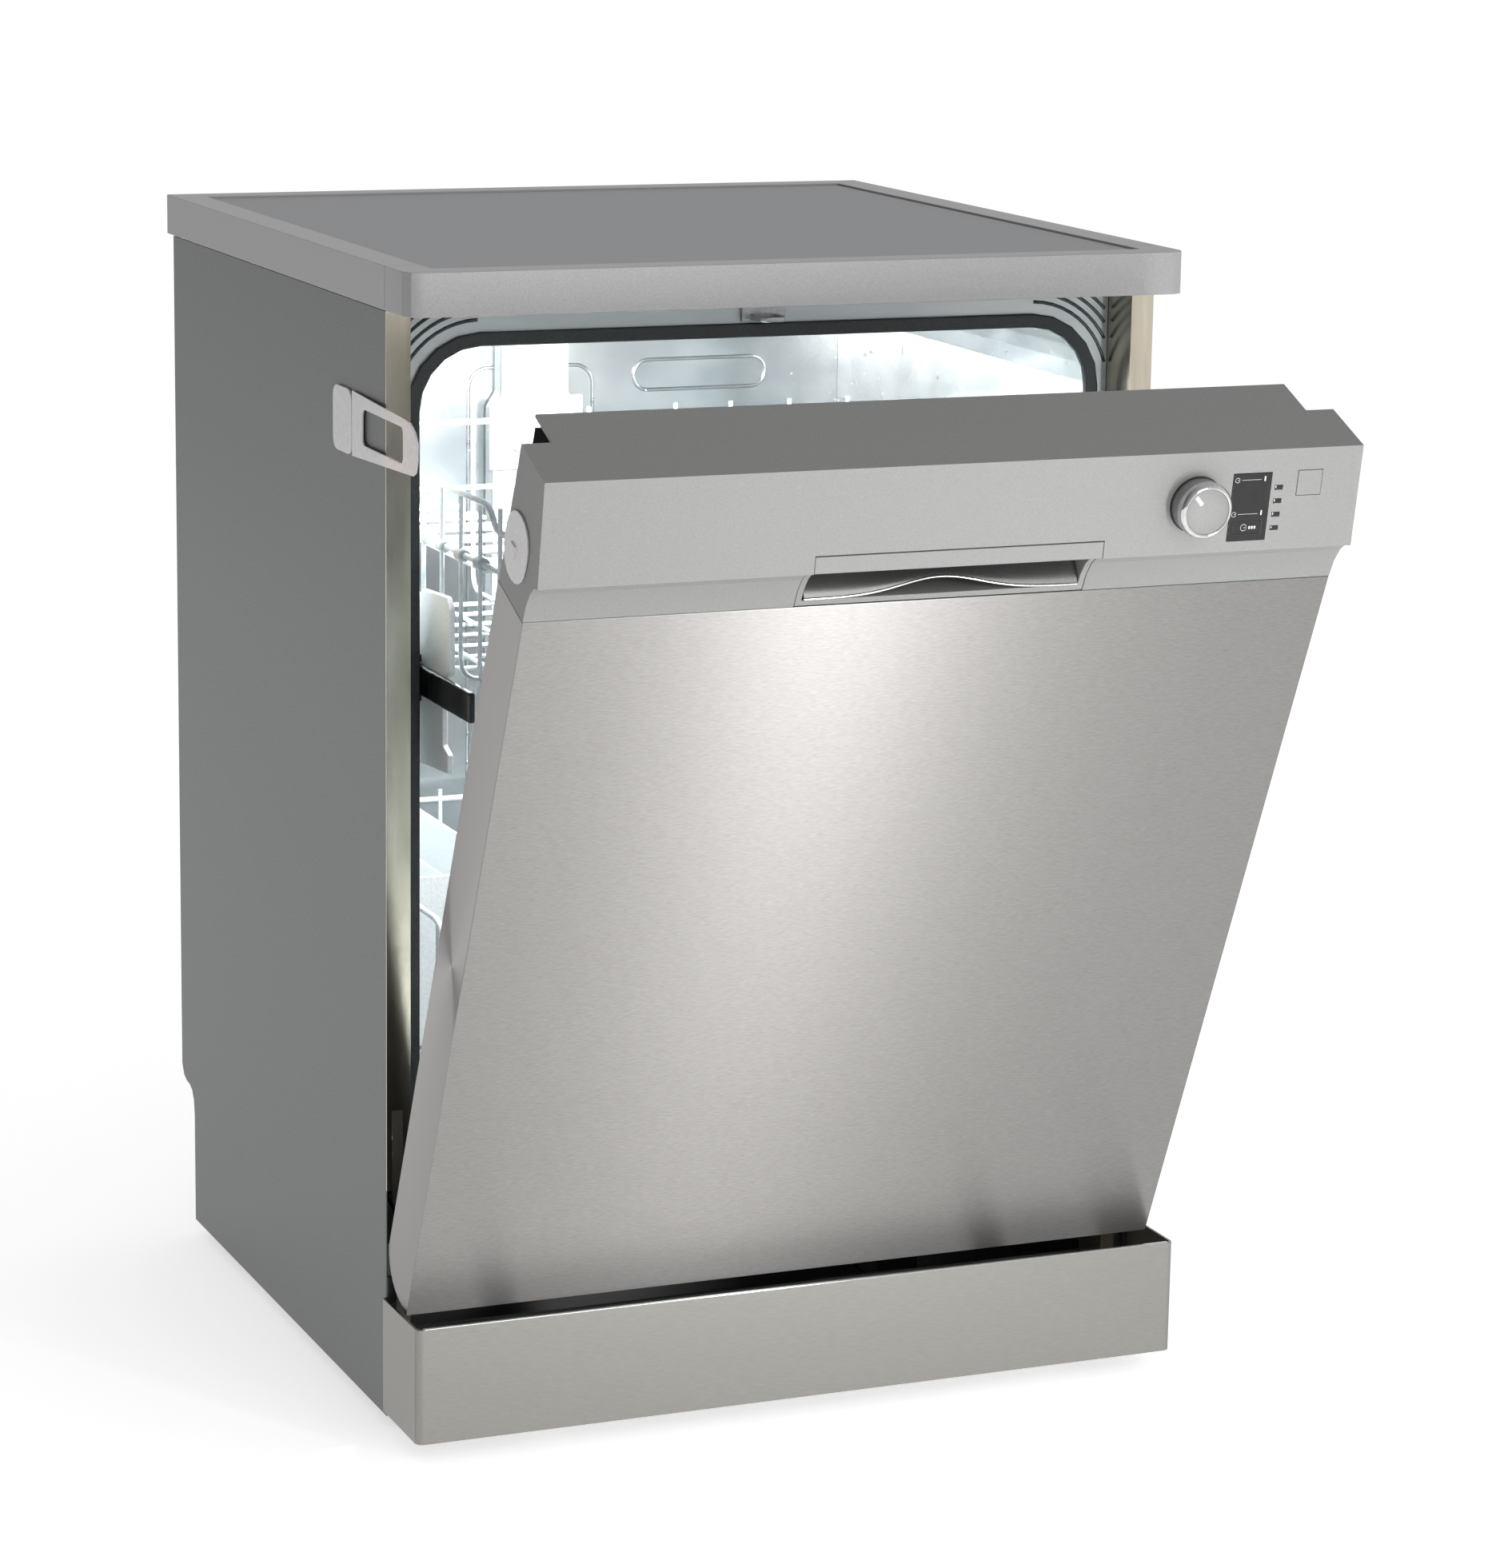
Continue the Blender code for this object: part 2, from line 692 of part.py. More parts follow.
def feed_duct(frame):
    """The moulded duct that brings water up the back wall to the upper spray arm."""
    back = TUB_BACK - GAP
    shoulder, top = MOUTH_TOP - 0.097, MOUTH_TOP - 0.017
    bm = bmesh.new()
    outline = [
        (-0.0500, 0.200),
        (0.0240, 0.200),
        (0.0240, shoulder - 0.012),
        (0.0165, shoulder),
        (0.0165, top),
        (-0.0425, top),
        (-0.0425, shoulder),
        (-0.0500, shoulder - 0.012),
    ]
    add_prism(bm, outline, "XZ", back - 0.020, back)
    duct = solid("feed_duct", bm, frame, WHITE_PLASTIC)
    bevel_edges(duct, 0.003)


def sump(frame):
    """The bowl under the floor, with the stub that the lower spray arm turns on."""
    centre = Vector((0.036, 0.238, 0))
    top = TUB_FLOOR - GAP
    bm = bmesh.new()
    profile = [(0, 0.092), (0.070, 0.092), (0.100, 0.118), (0.100, top)]
    profile += [(0.0975, top), (0.0975, 0.119), (0.069, 0.0945), (0, 0.0945)]
    add_turned(bm, profile, centre, (0, 0, 1), 28)
    bowl = solid("sump", bm, frame, GREY_PLASTIC, smooth=True)
    bm = bmesh.new()
    height = TUB_FLOOR + 0.030 - 0.093
    add_cylinder(bm, (0, ARM_CENTRE_Y, 0.093), (0, 0, 1), STUB_RADIUS, height, 20)
    boolean(bowl, "UNION", "sump_stub", bm)


def filter_cylinder(frame):
    bm = bmesh.new()
    top = TUB_FLOOR + 0.006
    profile = [(0, 0.111), (0.034, 0.111), (0.034, top - 0.006), (0.0355, top - 0.006)]
    profile += [(0.0355, top), (0.028, top), (0.026, 0.115), (0, 0.115)]
    add_turned(bm, profile, (0, 0, 0), (0, 0, 1), 28)
    mesh_filter = solid("filter_cylinder", bm, frame, GREY_PLASTIC, (*FILTER_PLACE, 0), smooth=True)
    bm = bmesh.new()
    add_box(bm, (-0.0300, -0.0025, top - 0.010), (0.0300, 0.0025, top + 0.001))
    boolean(mesh_filter, "UNION", "filter_grip", bm)


def salt_cap(frame):
    bm = bmesh.new()
    top = TUB_FLOOR + 0.009
    profile = [(0, 0.140), (0.026, 0.140), (0.026, TUB_FLOOR + 0.0025), (0.0305, TUB_FLOOR + 0.0025)]
    profile += [(0.0305, top - 0.002), (0.0285, top), (0, top)]
    add_turned(bm, profile, (0, 0, 0), (0, 0, 1), 28)
    cap = solid("salt_cap", bm, frame, WHITE_PLASTIC, (*SALT_PLACE, 0), smooth=True)
    bm = bmesh.new()
    add_box(bm, (-0.022, -0.003, top - 0.001), (0.022, 0.003, top + 0.0025))
    boolean(cap, "UNION", "salt_cap_grip", bm)


def water_softener(frame):
    bm = bmesh.new()
    x, y = SALT_PLACE
    add_box(bm, (0.100, 0.330, 0.020), (0.232, 0.470, 0.130))
    box = solid("water_softener", bm, frame, WHITE_PLASTIC)
    bm = bmesh.new()
    add_cylinder(bm, (x, y, 0.125), (0, 0, 1), 0.033, TUB_FLOOR - GAP - 0.125, 28)
    boolean(box, "UNION", "softener_neck", bm)
    bm = bmesh.new()
    add_cylinder(bm, (x, y, 0.060), (0, 0, 1), 0.0285, 0.2, 28)
    boolean(box, "DIFFERENCE", "softener_well", bm)


def pumps(frame):
    bm = bmesh.new()
    add_cylinder(bm, (-0.205, 0.300, 0.078), (1, 0, 0), 0.036, 0.085, 28)
    pump = solid("circulation_pump", bm, frame, ZINC, smooth=True)
    bm = bmesh.new()
    add_cylinder(bm, (-0.122, 0.300, 0.078), (1, 0, 0), 0.045, 0.038, 28)
    add_cylinder(bm, (-0.230, 0.300, 0.078), (1, 0, 0), 0.012, 0.030, 16)
    boolean(pump, "UNION", "pump_volute", bm)
    bm = bmesh.new()
    add_cylinder(bm, (-0.128, 0.342, 0.078), (0, 1, 0), 0.014, 0.040, 16)
    boolean(pump, "UNION", "pump_outlet", bm)
    bm = bmesh.new()
    add_cylinder(bm, (0.150, 0.130, 0.052), (0, 1, 0), 0.024, 0.052, 24)
    drain = solid("drain_pump", bm, frame, GREY_PLASTIC, smooth=True)
    bm = bmesh.new()
    add_box(bm, (0.133, 0.090, 0.036), (0.167, 0.135, 0.068))
    boolean(drain, "UNION", "drain_pump_coil", bm)


def inlet_valve(frame):
    """The fill valve inside the back of the base, with its thread standing out for a hose."""
    back = BASE_DEPTH - 0.002
    bm = bmesh.new()
    add_box(bm, (VALVE_X - 0.020, back - 0.060, 0.018), (VALVE_X + 0.020, back - 0.012, 0.075))
    valve = solid("inlet_valve", bm, frame, WHITE_PLASTIC)
    bm = bmesh.new()
    add_cylinder(bm, (VALVE_X, back - 0.015, VALVE_Z), (0, 1, 0), 0.0132, 0.035, 24)
    boolean(valve, "UNION", "valve_thread", bm)


def striker_loop(frame):
    """The wire loop that the door's latch takes hold of."""
    z, radius, half, tip = MOUTH_TOP + GASKET_WIDTH + 0.0045, 0.0018, 0.011, 0.013
    base = FLANGE_Y - GAP
    bm = bmesh.new()
    outer = [(-half, base - 0.002), (-half, tip + 0.008), (-half + 0.004, tip)]
    outer += [(half - 0.004, tip), (half, tip + 0.008), (half, base - 0.002)]
    inner = [(half - 2 * radius, base - 0.002), (half - 2 * radius, tip + 0.009)]
    inner += [(half - 0.005, tip + 2 * radius), (-half + 0.005, tip + 2 * radius)]
    inner += [(-half + 2 * radius, tip + 0.009), (-half + 2 * radius, base - 0.002)]
    add_prism(bm, outer + inner, "XY", z - radius, z + radius)
    loop = solid("striker_loop", bm, frame, ZINC)
    bm = bmesh.new()
    add_box(bm, (-half - 0.006, base - 0.003, z - 0.0030), (half + 0.006, base, z + 0.010))
    boolean(loop, "UNION", "striker_plate", bm)


# ---------------------------------------------------------------- racks


def wire_basket(name, frame, half, front, back, floor, rims, rows, columns):
    """A rack of U-bent wires running both ways, tied by closed rims."""
    top = rims[0]
    bm = bmesh.new()
    for z in rims:
        outer = rounded(-half, front, half, back, 0.018, 3)
        inner = rounded(-half + WIRE, front + WIRE, half - WIRE, back - WIRE, 0.014, 3)
        add_ring(bm, outer, inner, "XY", z - WIRE, z)
    rack = solid(name, bm, frame, COATED_WIRE)
    inset = 0.0011
    bm = bmesh.new()
    for index in range(rows):
        x = (index / (rows - 1) - 0.5) * 2 * (half - 0.034)
        low, high = front + inset, back - inset
        outline = [(low, top + 0.008), (low, floor), (high, floor), (high, top + 0.008)]
        outline += [(high - WIRE, top + 0.008), (high - WIRE, floor + WIRE)]
        outline += [(low + WIRE, floor + WIRE), (low + WIRE, top + 0.008)]
        add_prism(bm, outline, "YZ", x - WIRE / 2, x + WIRE / 2)
    boolean(rack, "UNION", f"{name}_lengthwise", bm)
    bm = bmesh.new()
    low_floor = floor + 0.0013
    for index in range(columns):
        y = column_place(index, columns, front, back)
        low, high = -half + inset, half - inset
        outline = [(low, top + 0.008), (low, low_floor), (high, low_floor), (high, top + 0.008)]
        outline += [(high - WIRE, top + 0.008), (high - WIRE, low_floor + WIRE)]
        outline += [(low + WIRE, low_floor + WIRE), (low + WIRE, top + 0.008)]
        add_prism(bm, outline, "XZ", y - WIRE / 2, y + WIRE / 2)
    boolean(rack, "UNION", f"{name}_crosswise", bm)
    return rack


def column_place(index, columns, front, back):
    return front + 0.030 + (back - front - 0.060) * index / (columns - 1)


def upper_rack(frame):
    rims = (UPPER_RIM, UPPER_FLOOR + 0.080)
    rack = wire_basket(
        "upper_rack",
        frame,
        UPPER_HALF_WIDTH,
        UPPER_FRONT,
        UPPER_BACK,
        UPPER_FLOOR,
        rims,
        7,
        6,
    )
    bm = bmesh.new()
    pipe_top = UPPER_FLOOR + 0.0028
    add_box(
        bm,
        (-0.0135, ARM_CENTRE_Y, UPPER_FLOOR - 0.016),
        (0.0135, UPPER_BACK + 0.004, pipe_top),
    )
    boolean(rack, "UNION", "upper_feed_pipe", bm)
    bm = bmesh.new()
    hub = [(0, UPPER_FLOOR - 0.052), (0.0085, UPPER_FLOOR - 0.052)]
    hub += [(0.0085, UPPER_FLOOR - 0.032), (0.0200, UPPER_FLOOR - 0.032)]
    hub += [(0.0200, pipe_top - 0.0015), (0, pipe_top - 0.0015)]
    add_turned(bm, hub, (0, ARM_CENTRE_Y, 0), (0, 0, 1), 20)
    boolean(rack, "UNION", "upper_arm_hub", bm)


def spray_arm(name, frame, reach, bottom, bore):
    """A two-bladed rotor: a flat hollow blade, waisted towards its tips, on a round hub."""
    half_widths = (0.0225, 0.0190, 0.0175, 0.0170, 0.0160, 0.0140, 0.0085)
    stations = [reach * share for share in (0.09, 0.25, 0.45, 0.65, 0.85, 0.95, 1.0)]
    upper = list(zip(stations, half_widths))
    outline = [(-x, w) for x, w in reversed(upper)] + upper
    outline += [(x, -w) for x, w in reversed(upper)] + [(-x, -w) for x, w in upper]
    bm = bmesh.new()
    add_prism(bm, outline, "XY", bottom, bottom + ARM_THICKNESS)
    arm = solid(name, bm, frame, GREY_PLASTIC, (0, ARM_CENTRE_Y, 0))
    bevel_edges(arm, 0.0025)
    bm = bmesh.new()
    add_cylinder(bm, (0, 0, bottom - 0.0015), (0, 0, 1), 0.027, ARM_THICKNESS + 0.003, 24)
    boolean(arm, "UNION", f"{name}_hub", bm)
    bm = bmesh.new()
    add_cylinder(bm, (0, 0, bottom - 0.01), (0, 0, 1), bore, ARM_THICKNESS + 0.02, 20)
    boolean(arm, "DIFFERENCE", f"{name}_bore", bm)
    arm.rotation_euler = (0, 0, math.radians(35))


def rack_rails(frame):
    for name, sign in (("left", -1), ("right", 1)):
        low, high = mirrored(sign, UPPER_HALF_WIDTH + 0.0050, UPPER_HALF_WIDTH + 0.0105)
        bm = bmesh.new()
        add_box(
            bm,
            (low, UPPER_FRONT - 0.005, RAIL_Z - RAIL_HEIGHT / 2),
            (high, UPPER_FRONT - 0.005 + RAIL_LENGTH, RAIL_Z + RAIL_HEIGHT / 2),
        )
        rail = solid(f"rack_rail_{name}", bm, frame, BLACK_PLASTIC)
        bevel_edges(rail, 0.0012, 1)


def rail_guides(frame):
    """The channels on the tub's walls that the rails run in."""
    for name, sign in (("left", -1), ("right", 1)):
        inner = UPPER_HALF_WIDTH + 0.0105 + GAP
        low, high = mirrored(sign, inner, TUB_HALF_WIDTH - GAP)
        bm = bmesh.new()
        half = RAIL_HEIGHT / 2 + 0.006
        add_box(bm, (low, 0.060, RAIL_Z - half), (high, TUB_BACK - 0.080, RAIL_Z + half))
        guide = solid(f"rail_guide_{name}", bm, frame, BLACK_PLASTIC)
        low, high = mirrored(sign, UPPER_HALF_WIDTH + 0.0052, inner + 0.001)
        bm = bmesh.new()
        for z in (RAIL_Z - half, RAIL_Z + RAIL_HEIGHT / 2 + 0.0006):
            add_box(bm, (low, 0.0601, z + 0.0001), (high, TUB_BACK - 0.0801, z + 0.0052))
        boolean(guide, "UNION", f"rail_guide_lips_{name}", bm)


def rack_adjusters(frame):
    """The white plates that hang the upper rack on its rails."""
    for name, sign in (("left", -1), ("right", 1)):
        low, high = mirrored(sign, UPPER_HALF_WIDTH + GAP, UPPER_HALF_WIDTH + 0.0046)
        bm = bmesh.new()
        outline = [(0.138, -0.060), (0.198, -0.064), (0.206, -0.056), (0.206, 0.054)]
        outline += [(0.196, 0.065), (0.142, 0.068), (0.134, 0.060), (0.134, 0.014)]
        outline += [(0.150, 0.006), (0.150, -0.041), (0.138, -0.046)]
        add_prism(bm, [(y, RAIL_Z + rise) for y, rise in outline], "YZ", low, high)
        solid(f"rack_adjuster_{name}", bm, frame, WHITE_PLASTIC)


def cup_shelves(frame):
    """The comb-shaped shelves for cups, which fold up against the upper rack's sides."""
    hinge_x, z = UPPER_HALF_WIDTH - 0.012, UPPER_FLOOR + 0.083
    length, width, tooth = 0.300, 0.082, 0.024
    for name, sign in (("left", -1), ("right", 1)):
        outline = [(0.0, 0.0), (0.0, length)]
        count = 6
        for index in range(count):
            high = length * (1 - index / count)
            low = high - tooth
            outline += [(-sign * width, high), (-sign * width, low)]
            if index < count - 1:
                outline += [(-sign * 0.020, low), (-sign * 0.020, length * (1 - (index + 1) / count))]
        outline += [(-sign * 0.020, length / count - tooth), (-sign * 0.020, 0.0)]
        bm = bmesh.new()
        add_prism(bm, outline, "XY", 0, 0.0025)
        solid(f"cup_shelf_{name}", bm, frame, WHITE_PLASTIC, (sign * hinge_x, UPPER_FRONT + 0.060, z))


def lower_rack(frame):
    rims = (LOWER_RIM, LOWER_FLOOR + 0.060)
    columns = 6
    rack = wire_basket(
        "lower_rack",
        frame,
        LOWER_HALF_WIDTH,
        LOWER_FRONT,
        LOWER_BACK,
        LOWER_FLOOR,
        rims,
        7,
        columns,
    )
    wheel_z = LEDGE_HEIGHT + GAP + WHEEL_RADIUS
    bm = bmesh.new()
    for sign in (-1, 1):
        for index in (1, columns - 2):
            y = column_place(index, columns, LOWER_FRONT, LOWER_BACK)
            low, high = mirrored(sign, LOWER_HALF_WIDTH - 0.003, LOWER_HALF_WIDTH + 0.004)
            add_box(bm, (low, y - 0.005, wheel_z - 0.004), (high, y + 0.005, LOWER_FLOOR + 0.012))
    boolean(rack, "UNION", "lower_rack_brackets", bm)
    bm = bmesh.new()
    for sign in (-1, 1):
        for index in (1, columns - 2):
            y = column_place(index, columns, LOWER_FRONT, LOWER_BACK)
            start = sign * (LOWER_HALF_WIDTH + 0.003)
            add_cylinder(bm, (start, y, wheel_z), (sign, 0, 0), WHEEL_RADIUS, 0.009, 20)
    boolean(rack, "UNION", "lower_rack_wheels", bm)


def cutlery_basket(frame):
    low = Vector((-LOWER_HALF_WIDTH + 0.008, 0.155, LOWER_FLOOR + 2 * WIRE))
    high = Vector((-LOWER_HALF_WIDTH + 0.0895, 0.395, LOWER_FLOOR + 0.139))
    wall = Vector((0.002, 0.002, 0.002))
    bm = bmesh.new()
    add_box(bm, low, high)
    basket = solid("cutlery_basket", bm, frame, WHITE_PLASTIC)
    bm = bmesh.new()
    add_box(bm, low + wall, (high.x - wall.x, high.y - wall.y, high.z + 0.01))
    boolean(basket, "DIFFERENCE", "cutlery_hollow", bm)
    bm = bmesh.new()
    middle = (low.x + high.x) / 2
    half = wall.x / 2
    add_box(
        bm,
        (middle - half, low.y + half, low.z + half),
        (middle + half, high.y - half, high.z - 0.012),
    )
    boolean(basket, "UNION", "cutlery_divider", bm)


# ---------------------------------------------------------------- door


def door_outer_panel(frame):
    half = DOOR_WIDTH / 2
    back = DOOR_BACK - HINGE_Y
    start = math.asin(min(1.0, back / DOOR_BOTTOM_RADIUS))
    outline = [(DOOR_FACE, HINGE_Z - DOOR_BOTTOM_RADIUS), (DOOR_FACE, STEEL_TOP)]
    outline += [(DOOR_BACK, STEEL_TOP)]
    for step in range(7):
        angle = start * (1 - step / 6)
        y = HINGE_Y + DOOR_BOTTOM_RADIUS * math.sin(angle)
        outline.append((y, HINGE_Z - DOOR_BOTTOM_RADIUS * math.cos(angle)))
    bm = bmesh.new()
    add_prism(bm, outline, "YZ", -half, half)
    panel = solid("door_outer_panel", bm, frame, STEEL)
    bm = bmesh.new()
    add_box(
        bm,
        (-half + SHEET, DOOR_FACE + SHEET, 0),
        (half - SHEET, DOOR_BACK + 0.05, STEEL_TOP + 0.05),
    )
    boolean(panel, "DIFFERENCE", "door_panel_hollow", bm)


def door_liner(frame):
    """The stainless inner pan, with the cut-out that takes the detergent dispenser."""
    front, shoulder = LINER_BACK - LINER_DEPTH, LINER_TOP - 0.028
    bm = bmesh.new()
    outline = [(front, LINER_BOTTOM), (LINER_BACK, LINER_BOTTOM), (LINER_BACK, LINER_TOP)]
    outline += [(LINER_INNER_Y, LINER_TOP), (LINER_INNER_Y, shoulder), (front, shoulder)]
    add_prism(bm, outline, "YZ", -LINER_HALF_WIDTH, LINER_HALF_WIDTH)
    liner = solid("door_liner", bm, frame, BRIGHT_STEEL)
    bm = bmesh.new()
    add_box(
        bm,
        (-LINER_HALF_WIDTH + SHEET, front - 0.01, LINER_BOTTOM + SHEET),
        (LINER_HALF_WIDTH - SHEET, LINER_INNER_Y, shoulder - SHEET),
    )
    boolean(liner, "DIFFERENCE", "liner_hollow", bm)
    bm = bmesh.new()
    room = 0.0005
    add_box(
        bm,
        (DISPENSER_LOW[0] - room, LINER_INNER_Y - 0.01, DISPENSER_LOW[1] - room),
        (DISPENSER_HIGH[0] + room, LINER_BACK + 0.01, DISPENSER_HIGH[1] + room),
    )
    boolean(liner, "DIFFERENCE", "liner_dispenser_hole", bm)


def cove():
    """The hollow moulding under the control panel's face, as points down from the face to the steel."""
    drop = PANEL_BOTTOM - STEEL_TOP - 0.0005
    shares = ((0.38, 0.07), (0.72, 0.30), (0.94, 0.62), (1.0, 1.0))
    return [(PANEL_FOOT_Y + PANEL_BULGE * a, PANEL_BOTTOM - drop * b) for a, b in shares]


def control_panel(frame, face):
    """The moulded fascia: a tilted face over a cove, closed ends, and a deeper middle behind the top."""
    half = DOOR_WIDTH / 2
    wall = PANEL_WALL
    bottom = STEEL_TOP + 0.0005
    back = DOOR_BACK - 0.002
    bm = bmesh.new()
    outline = [(back, DOOR_TOP), (PANEL_TOP_Y, DOOR_TOP), (PANEL_FOOT_Y, PANEL_BOTTOM), *cove()]
    outline += [(back, bottom)]
    add_prism(bm, outline, "YZ", -half, half)
    panel = solid("control_panel", bm, frame, SILVER_PLASTIC)

    bm = bmesh.new()
    hollow = [(back + 0.05, DOOR_TOP - wall), (PANEL_TOP_Y + wall * 1.25, DOOR_TOP - wall)]
    hollow += [(PANEL_FOOT_Y + wall * 1.1, PANEL_BOTTOM + wall * 0.35)]
    hollow += [(y + wall, z + wall * 0.6) for y, z in cove()[:-1]]
    hollow += [(DOOR_FACE + wall, bottom - 0.01), (back + 0.05, bottom - 0.01)]
    add_prism(bm, hollow, "YZ", -half + wall, half - wall)
    boolean(panel, "DIFFERENCE", "panel_hollow", bm)

    middle = half - PANEL_MIDDLE_INSET
    bm = bmesh.new()
    add_box(
        bm,
        (-middle, back - 0.004, DOOR_TOP - wall + 0.0001),
        (middle, PANEL_MIDDLE_BACK, DOOR_TOP - 0.0001),
    )
    boolean(panel, "UNION", "panel_middle", bm)

    bm = bmesh.new()
    recess_left, recess_right = FLAP_LEFT - 0.0027, FLAP_RIGHT - 0.0006
    add_box(
        bm,
        (recess_left, PANEL_FOOT_Y - 0.01, bottom - 0.01),
        (recess_right, back - 0.010, PANEL_BOTTOM - 0.0010),
    )
    boolean(panel, "DIFFERENCE", "panel_recess_hole", bm)

    bm = bmesh.new()
    depth = 0.008
    room = BUTTON_GAP
    for box in (DISPLAY_BOX, POWER_BOX):
        add_box(bm, (box[0] - room, box[1] - room, -depth), (box[2] + room, box[3] + room, depth))
    for index in range(LIGHT_COUNT):
        x, t = LIGHT_X, LIGHT_T + LIGHT_PITCH * index
        width, height = LIGHT_SIZE
        add_box(
            bm,
            (x - width / 2 - room, t - height / 2 - room, -depth),
            (x + width / 2 + room, t + height / 2 + room, depth),
        )
    add_cylinder(bm, (KNOB_X, KNOB_T, -depth), (0, 0, 1), 0.0036, 2 * depth, 16)
    add_box(
        bm,
        (FLAP_LEFT - BUTTON_GAP, -0.02, -depth),
        (FLAP_RIGHT + BUTTON_GAP, FLAP_HEIGHT + 0.0008, depth),
    )
    bmesh.ops.transform(bm, verts=bm.verts, matrix=face_matrix())
    boolean(panel, "DIFFERENCE", "panel_openings", bm)


def face_matrix():
    """From the panel face's own axes (x, up the face, out of it) to the door's."""
    turn = Matrix.Rotation(math.radians(90) - PANEL_ANGLE, 4, "X")
    return Matrix.Translation((0, PANEL_FOOT_Y, PANEL_BOTTOM)) @ turn


def handle_recess(frame):
    """The finger cup under the handle flap, set into the cove."""
    left, right = FLAP_LEFT - 0.0023, FLAP_RIGHT - 0.0010
    bottom, top = STEEL_TOP + 0.0008, PANEL_BOTTOM - 0.0014
    rear = DOOR_BACK - 0.013
    front = [(y, z) for y, z in cove() if bottom < z < top]
    outline = [(front[0][0] - 0.0012, top), *front, (DOOR_FACE, bottom), (rear, bottom), (rear, top)]
    bm = bmesh.new()
    add_prism(bm, outline, "YZ", left, right)
    cup = solid("handle_recess", bm, frame, STEEL)
    bm = bmesh.new()
    wall = 0.0045
    pocket = [(PANEL_FOOT_Y - 0.02, top + 0.01), (PANEL_FOOT_Y - 0.02, bottom + wall)]
    pocket += [(DOOR_FACE + 0.006, bottom + wall), (rear - 0.010, bottom + 0.002)]
    pocket += [(rear - 0.002, bottom + 0.010), (rear - 0.002, top + 0.01)]
    add_prism(bm, pocket, "YZ", left + wall, right - wall)
    boolean(cup, "DIFFERENCE", "recess_pocket", bm)


def handle_flap(face):
    """The pull flap. Its origin is on the line that it swings on, just under its top edge."""
    thickness = 0.0022
    pivot = FLAP_HEIGHT - 0.0006
    bm = bmesh.new()
    add_box(bm, (FLAP_LEFT, 0.0002 - pivot, -thickness / 2), (FLAP_RIGHT, 0.0006, thickness / 2))
    solid("handle_flap", bm, face, SILVER_PLASTIC, (0, pivot, -thickness / 2))


def program_knob(face):
    bm = bmesh.new()
    r, h = KNOB_RADIUS, KNOB_HEIGHT
    profile = [(0, -0.012), (0.003, -0.012), (0.003, 0.0006), (r, 0.0006), (r, h * 0.55)]
    profile += [(r + 0.0004, h * 0.62), (r - 0.0004, h * 0.92), (r - 0.0022, h)]
    profile += [(r - 0.0034, h - 0.0008), (0, h - 0.0008)]
    add_turned(bm, profile, (0, 0, 0), (0, 0, 1), 36)
    solid("program_knob", bm, face, CHROME, (KNOB_X, KNOB_T, 0), smooth=True)


def display_window(face):
    bm = bmesh.new()
    left, low, right, high = DISPLAY_BOX
    add_box(bm, (left, low, -0.0020), (right, high, 0.0003))
    window = solid("display_window", bm, face, BLACK_PLASTIC)
    bm = bmesh.new()
    left, low, right, high = SELECT_BOX
    add_box(bm, (left, low, -0.01), (right, high, 0.01))
    boolean(window, "DIFFERENCE", "window_button_hole", bm)


def buttons(face):
    boxes = {"select_button": (SELECT_BOX, BLACK_PLASTIC), "power_button": (POWER_BOX, SILVER_PLASTIC)}
    for name, (box, finish) in boxes.items():
        room = BUTTON_GAP if name == "select_button" else 0
        half_x = (box[2] - box[0]) / 2 - room
        half_t = (box[3] - box[1]) / 2 - room
        centre = ((box[0] + box[2]) / 2, (box[1] + box[3]) / 2, 0)
        bm = bmesh.new()
        add_box(bm, (-half_x, -half_t, -0.0045), (half_x, half_t, 0.0003))
        solid(name, bm, face, finish, centre)


def indicator_board(face):
    """The circuit board behind the panel, with the light guides that fill its slots."""
    bm = bmesh.new()
    behind = -0.0165
    add_box(bm, (0.192, 0.006, behind), (0.276, 0.062, behind + 0.0016))
    board = solid("indicator_board", bm, face, BOARD_GREEN)
    bm = bmesh.new()
    width, height = LIGHT_SIZE
    for index in range(LIGHT_COUNT):
        t = LIGHT_T + LIGHT_PITCH * index
        add_box(
            bm,
            (LIGHT_X - width / 2, t - height / 2, behind + 0.001),
            (LIGHT_X + width / 2, t + height / 2, -0.0004),
        )
    boolean(board, "UNION", "light_guides", bm)


def detergent_dispenser(frame):
    bm = bmesh.new()
    low, high = DISPENSER_LOW, DISPENSER_HIGH
    add_box(bm, (low[0], 0.004, low[1]), (high[0], DISPENSER_FACE, high[1]))
    body = solid("detergent_dispenser", bm, frame, GREY_PLASTIC)
    bm = bmesh.new()
    add_box(
        bm,
        (CHAMBER_LOW[0], 0.012, CHAMBER_LOW[1]),
        (CHAMBER_HIGH[0], DISPENSER_FACE + 0.01, CHAMBER_HIGH[1]),
    )
    add_cylinder(bm, (RINSE_PLACE[0], 0.014, RINSE_PLACE[1]), (0, 1, 0), 0.0125, 0.04, 20)
    boolean(body, "DIFFERENCE", "dispenser_chambers", bm)


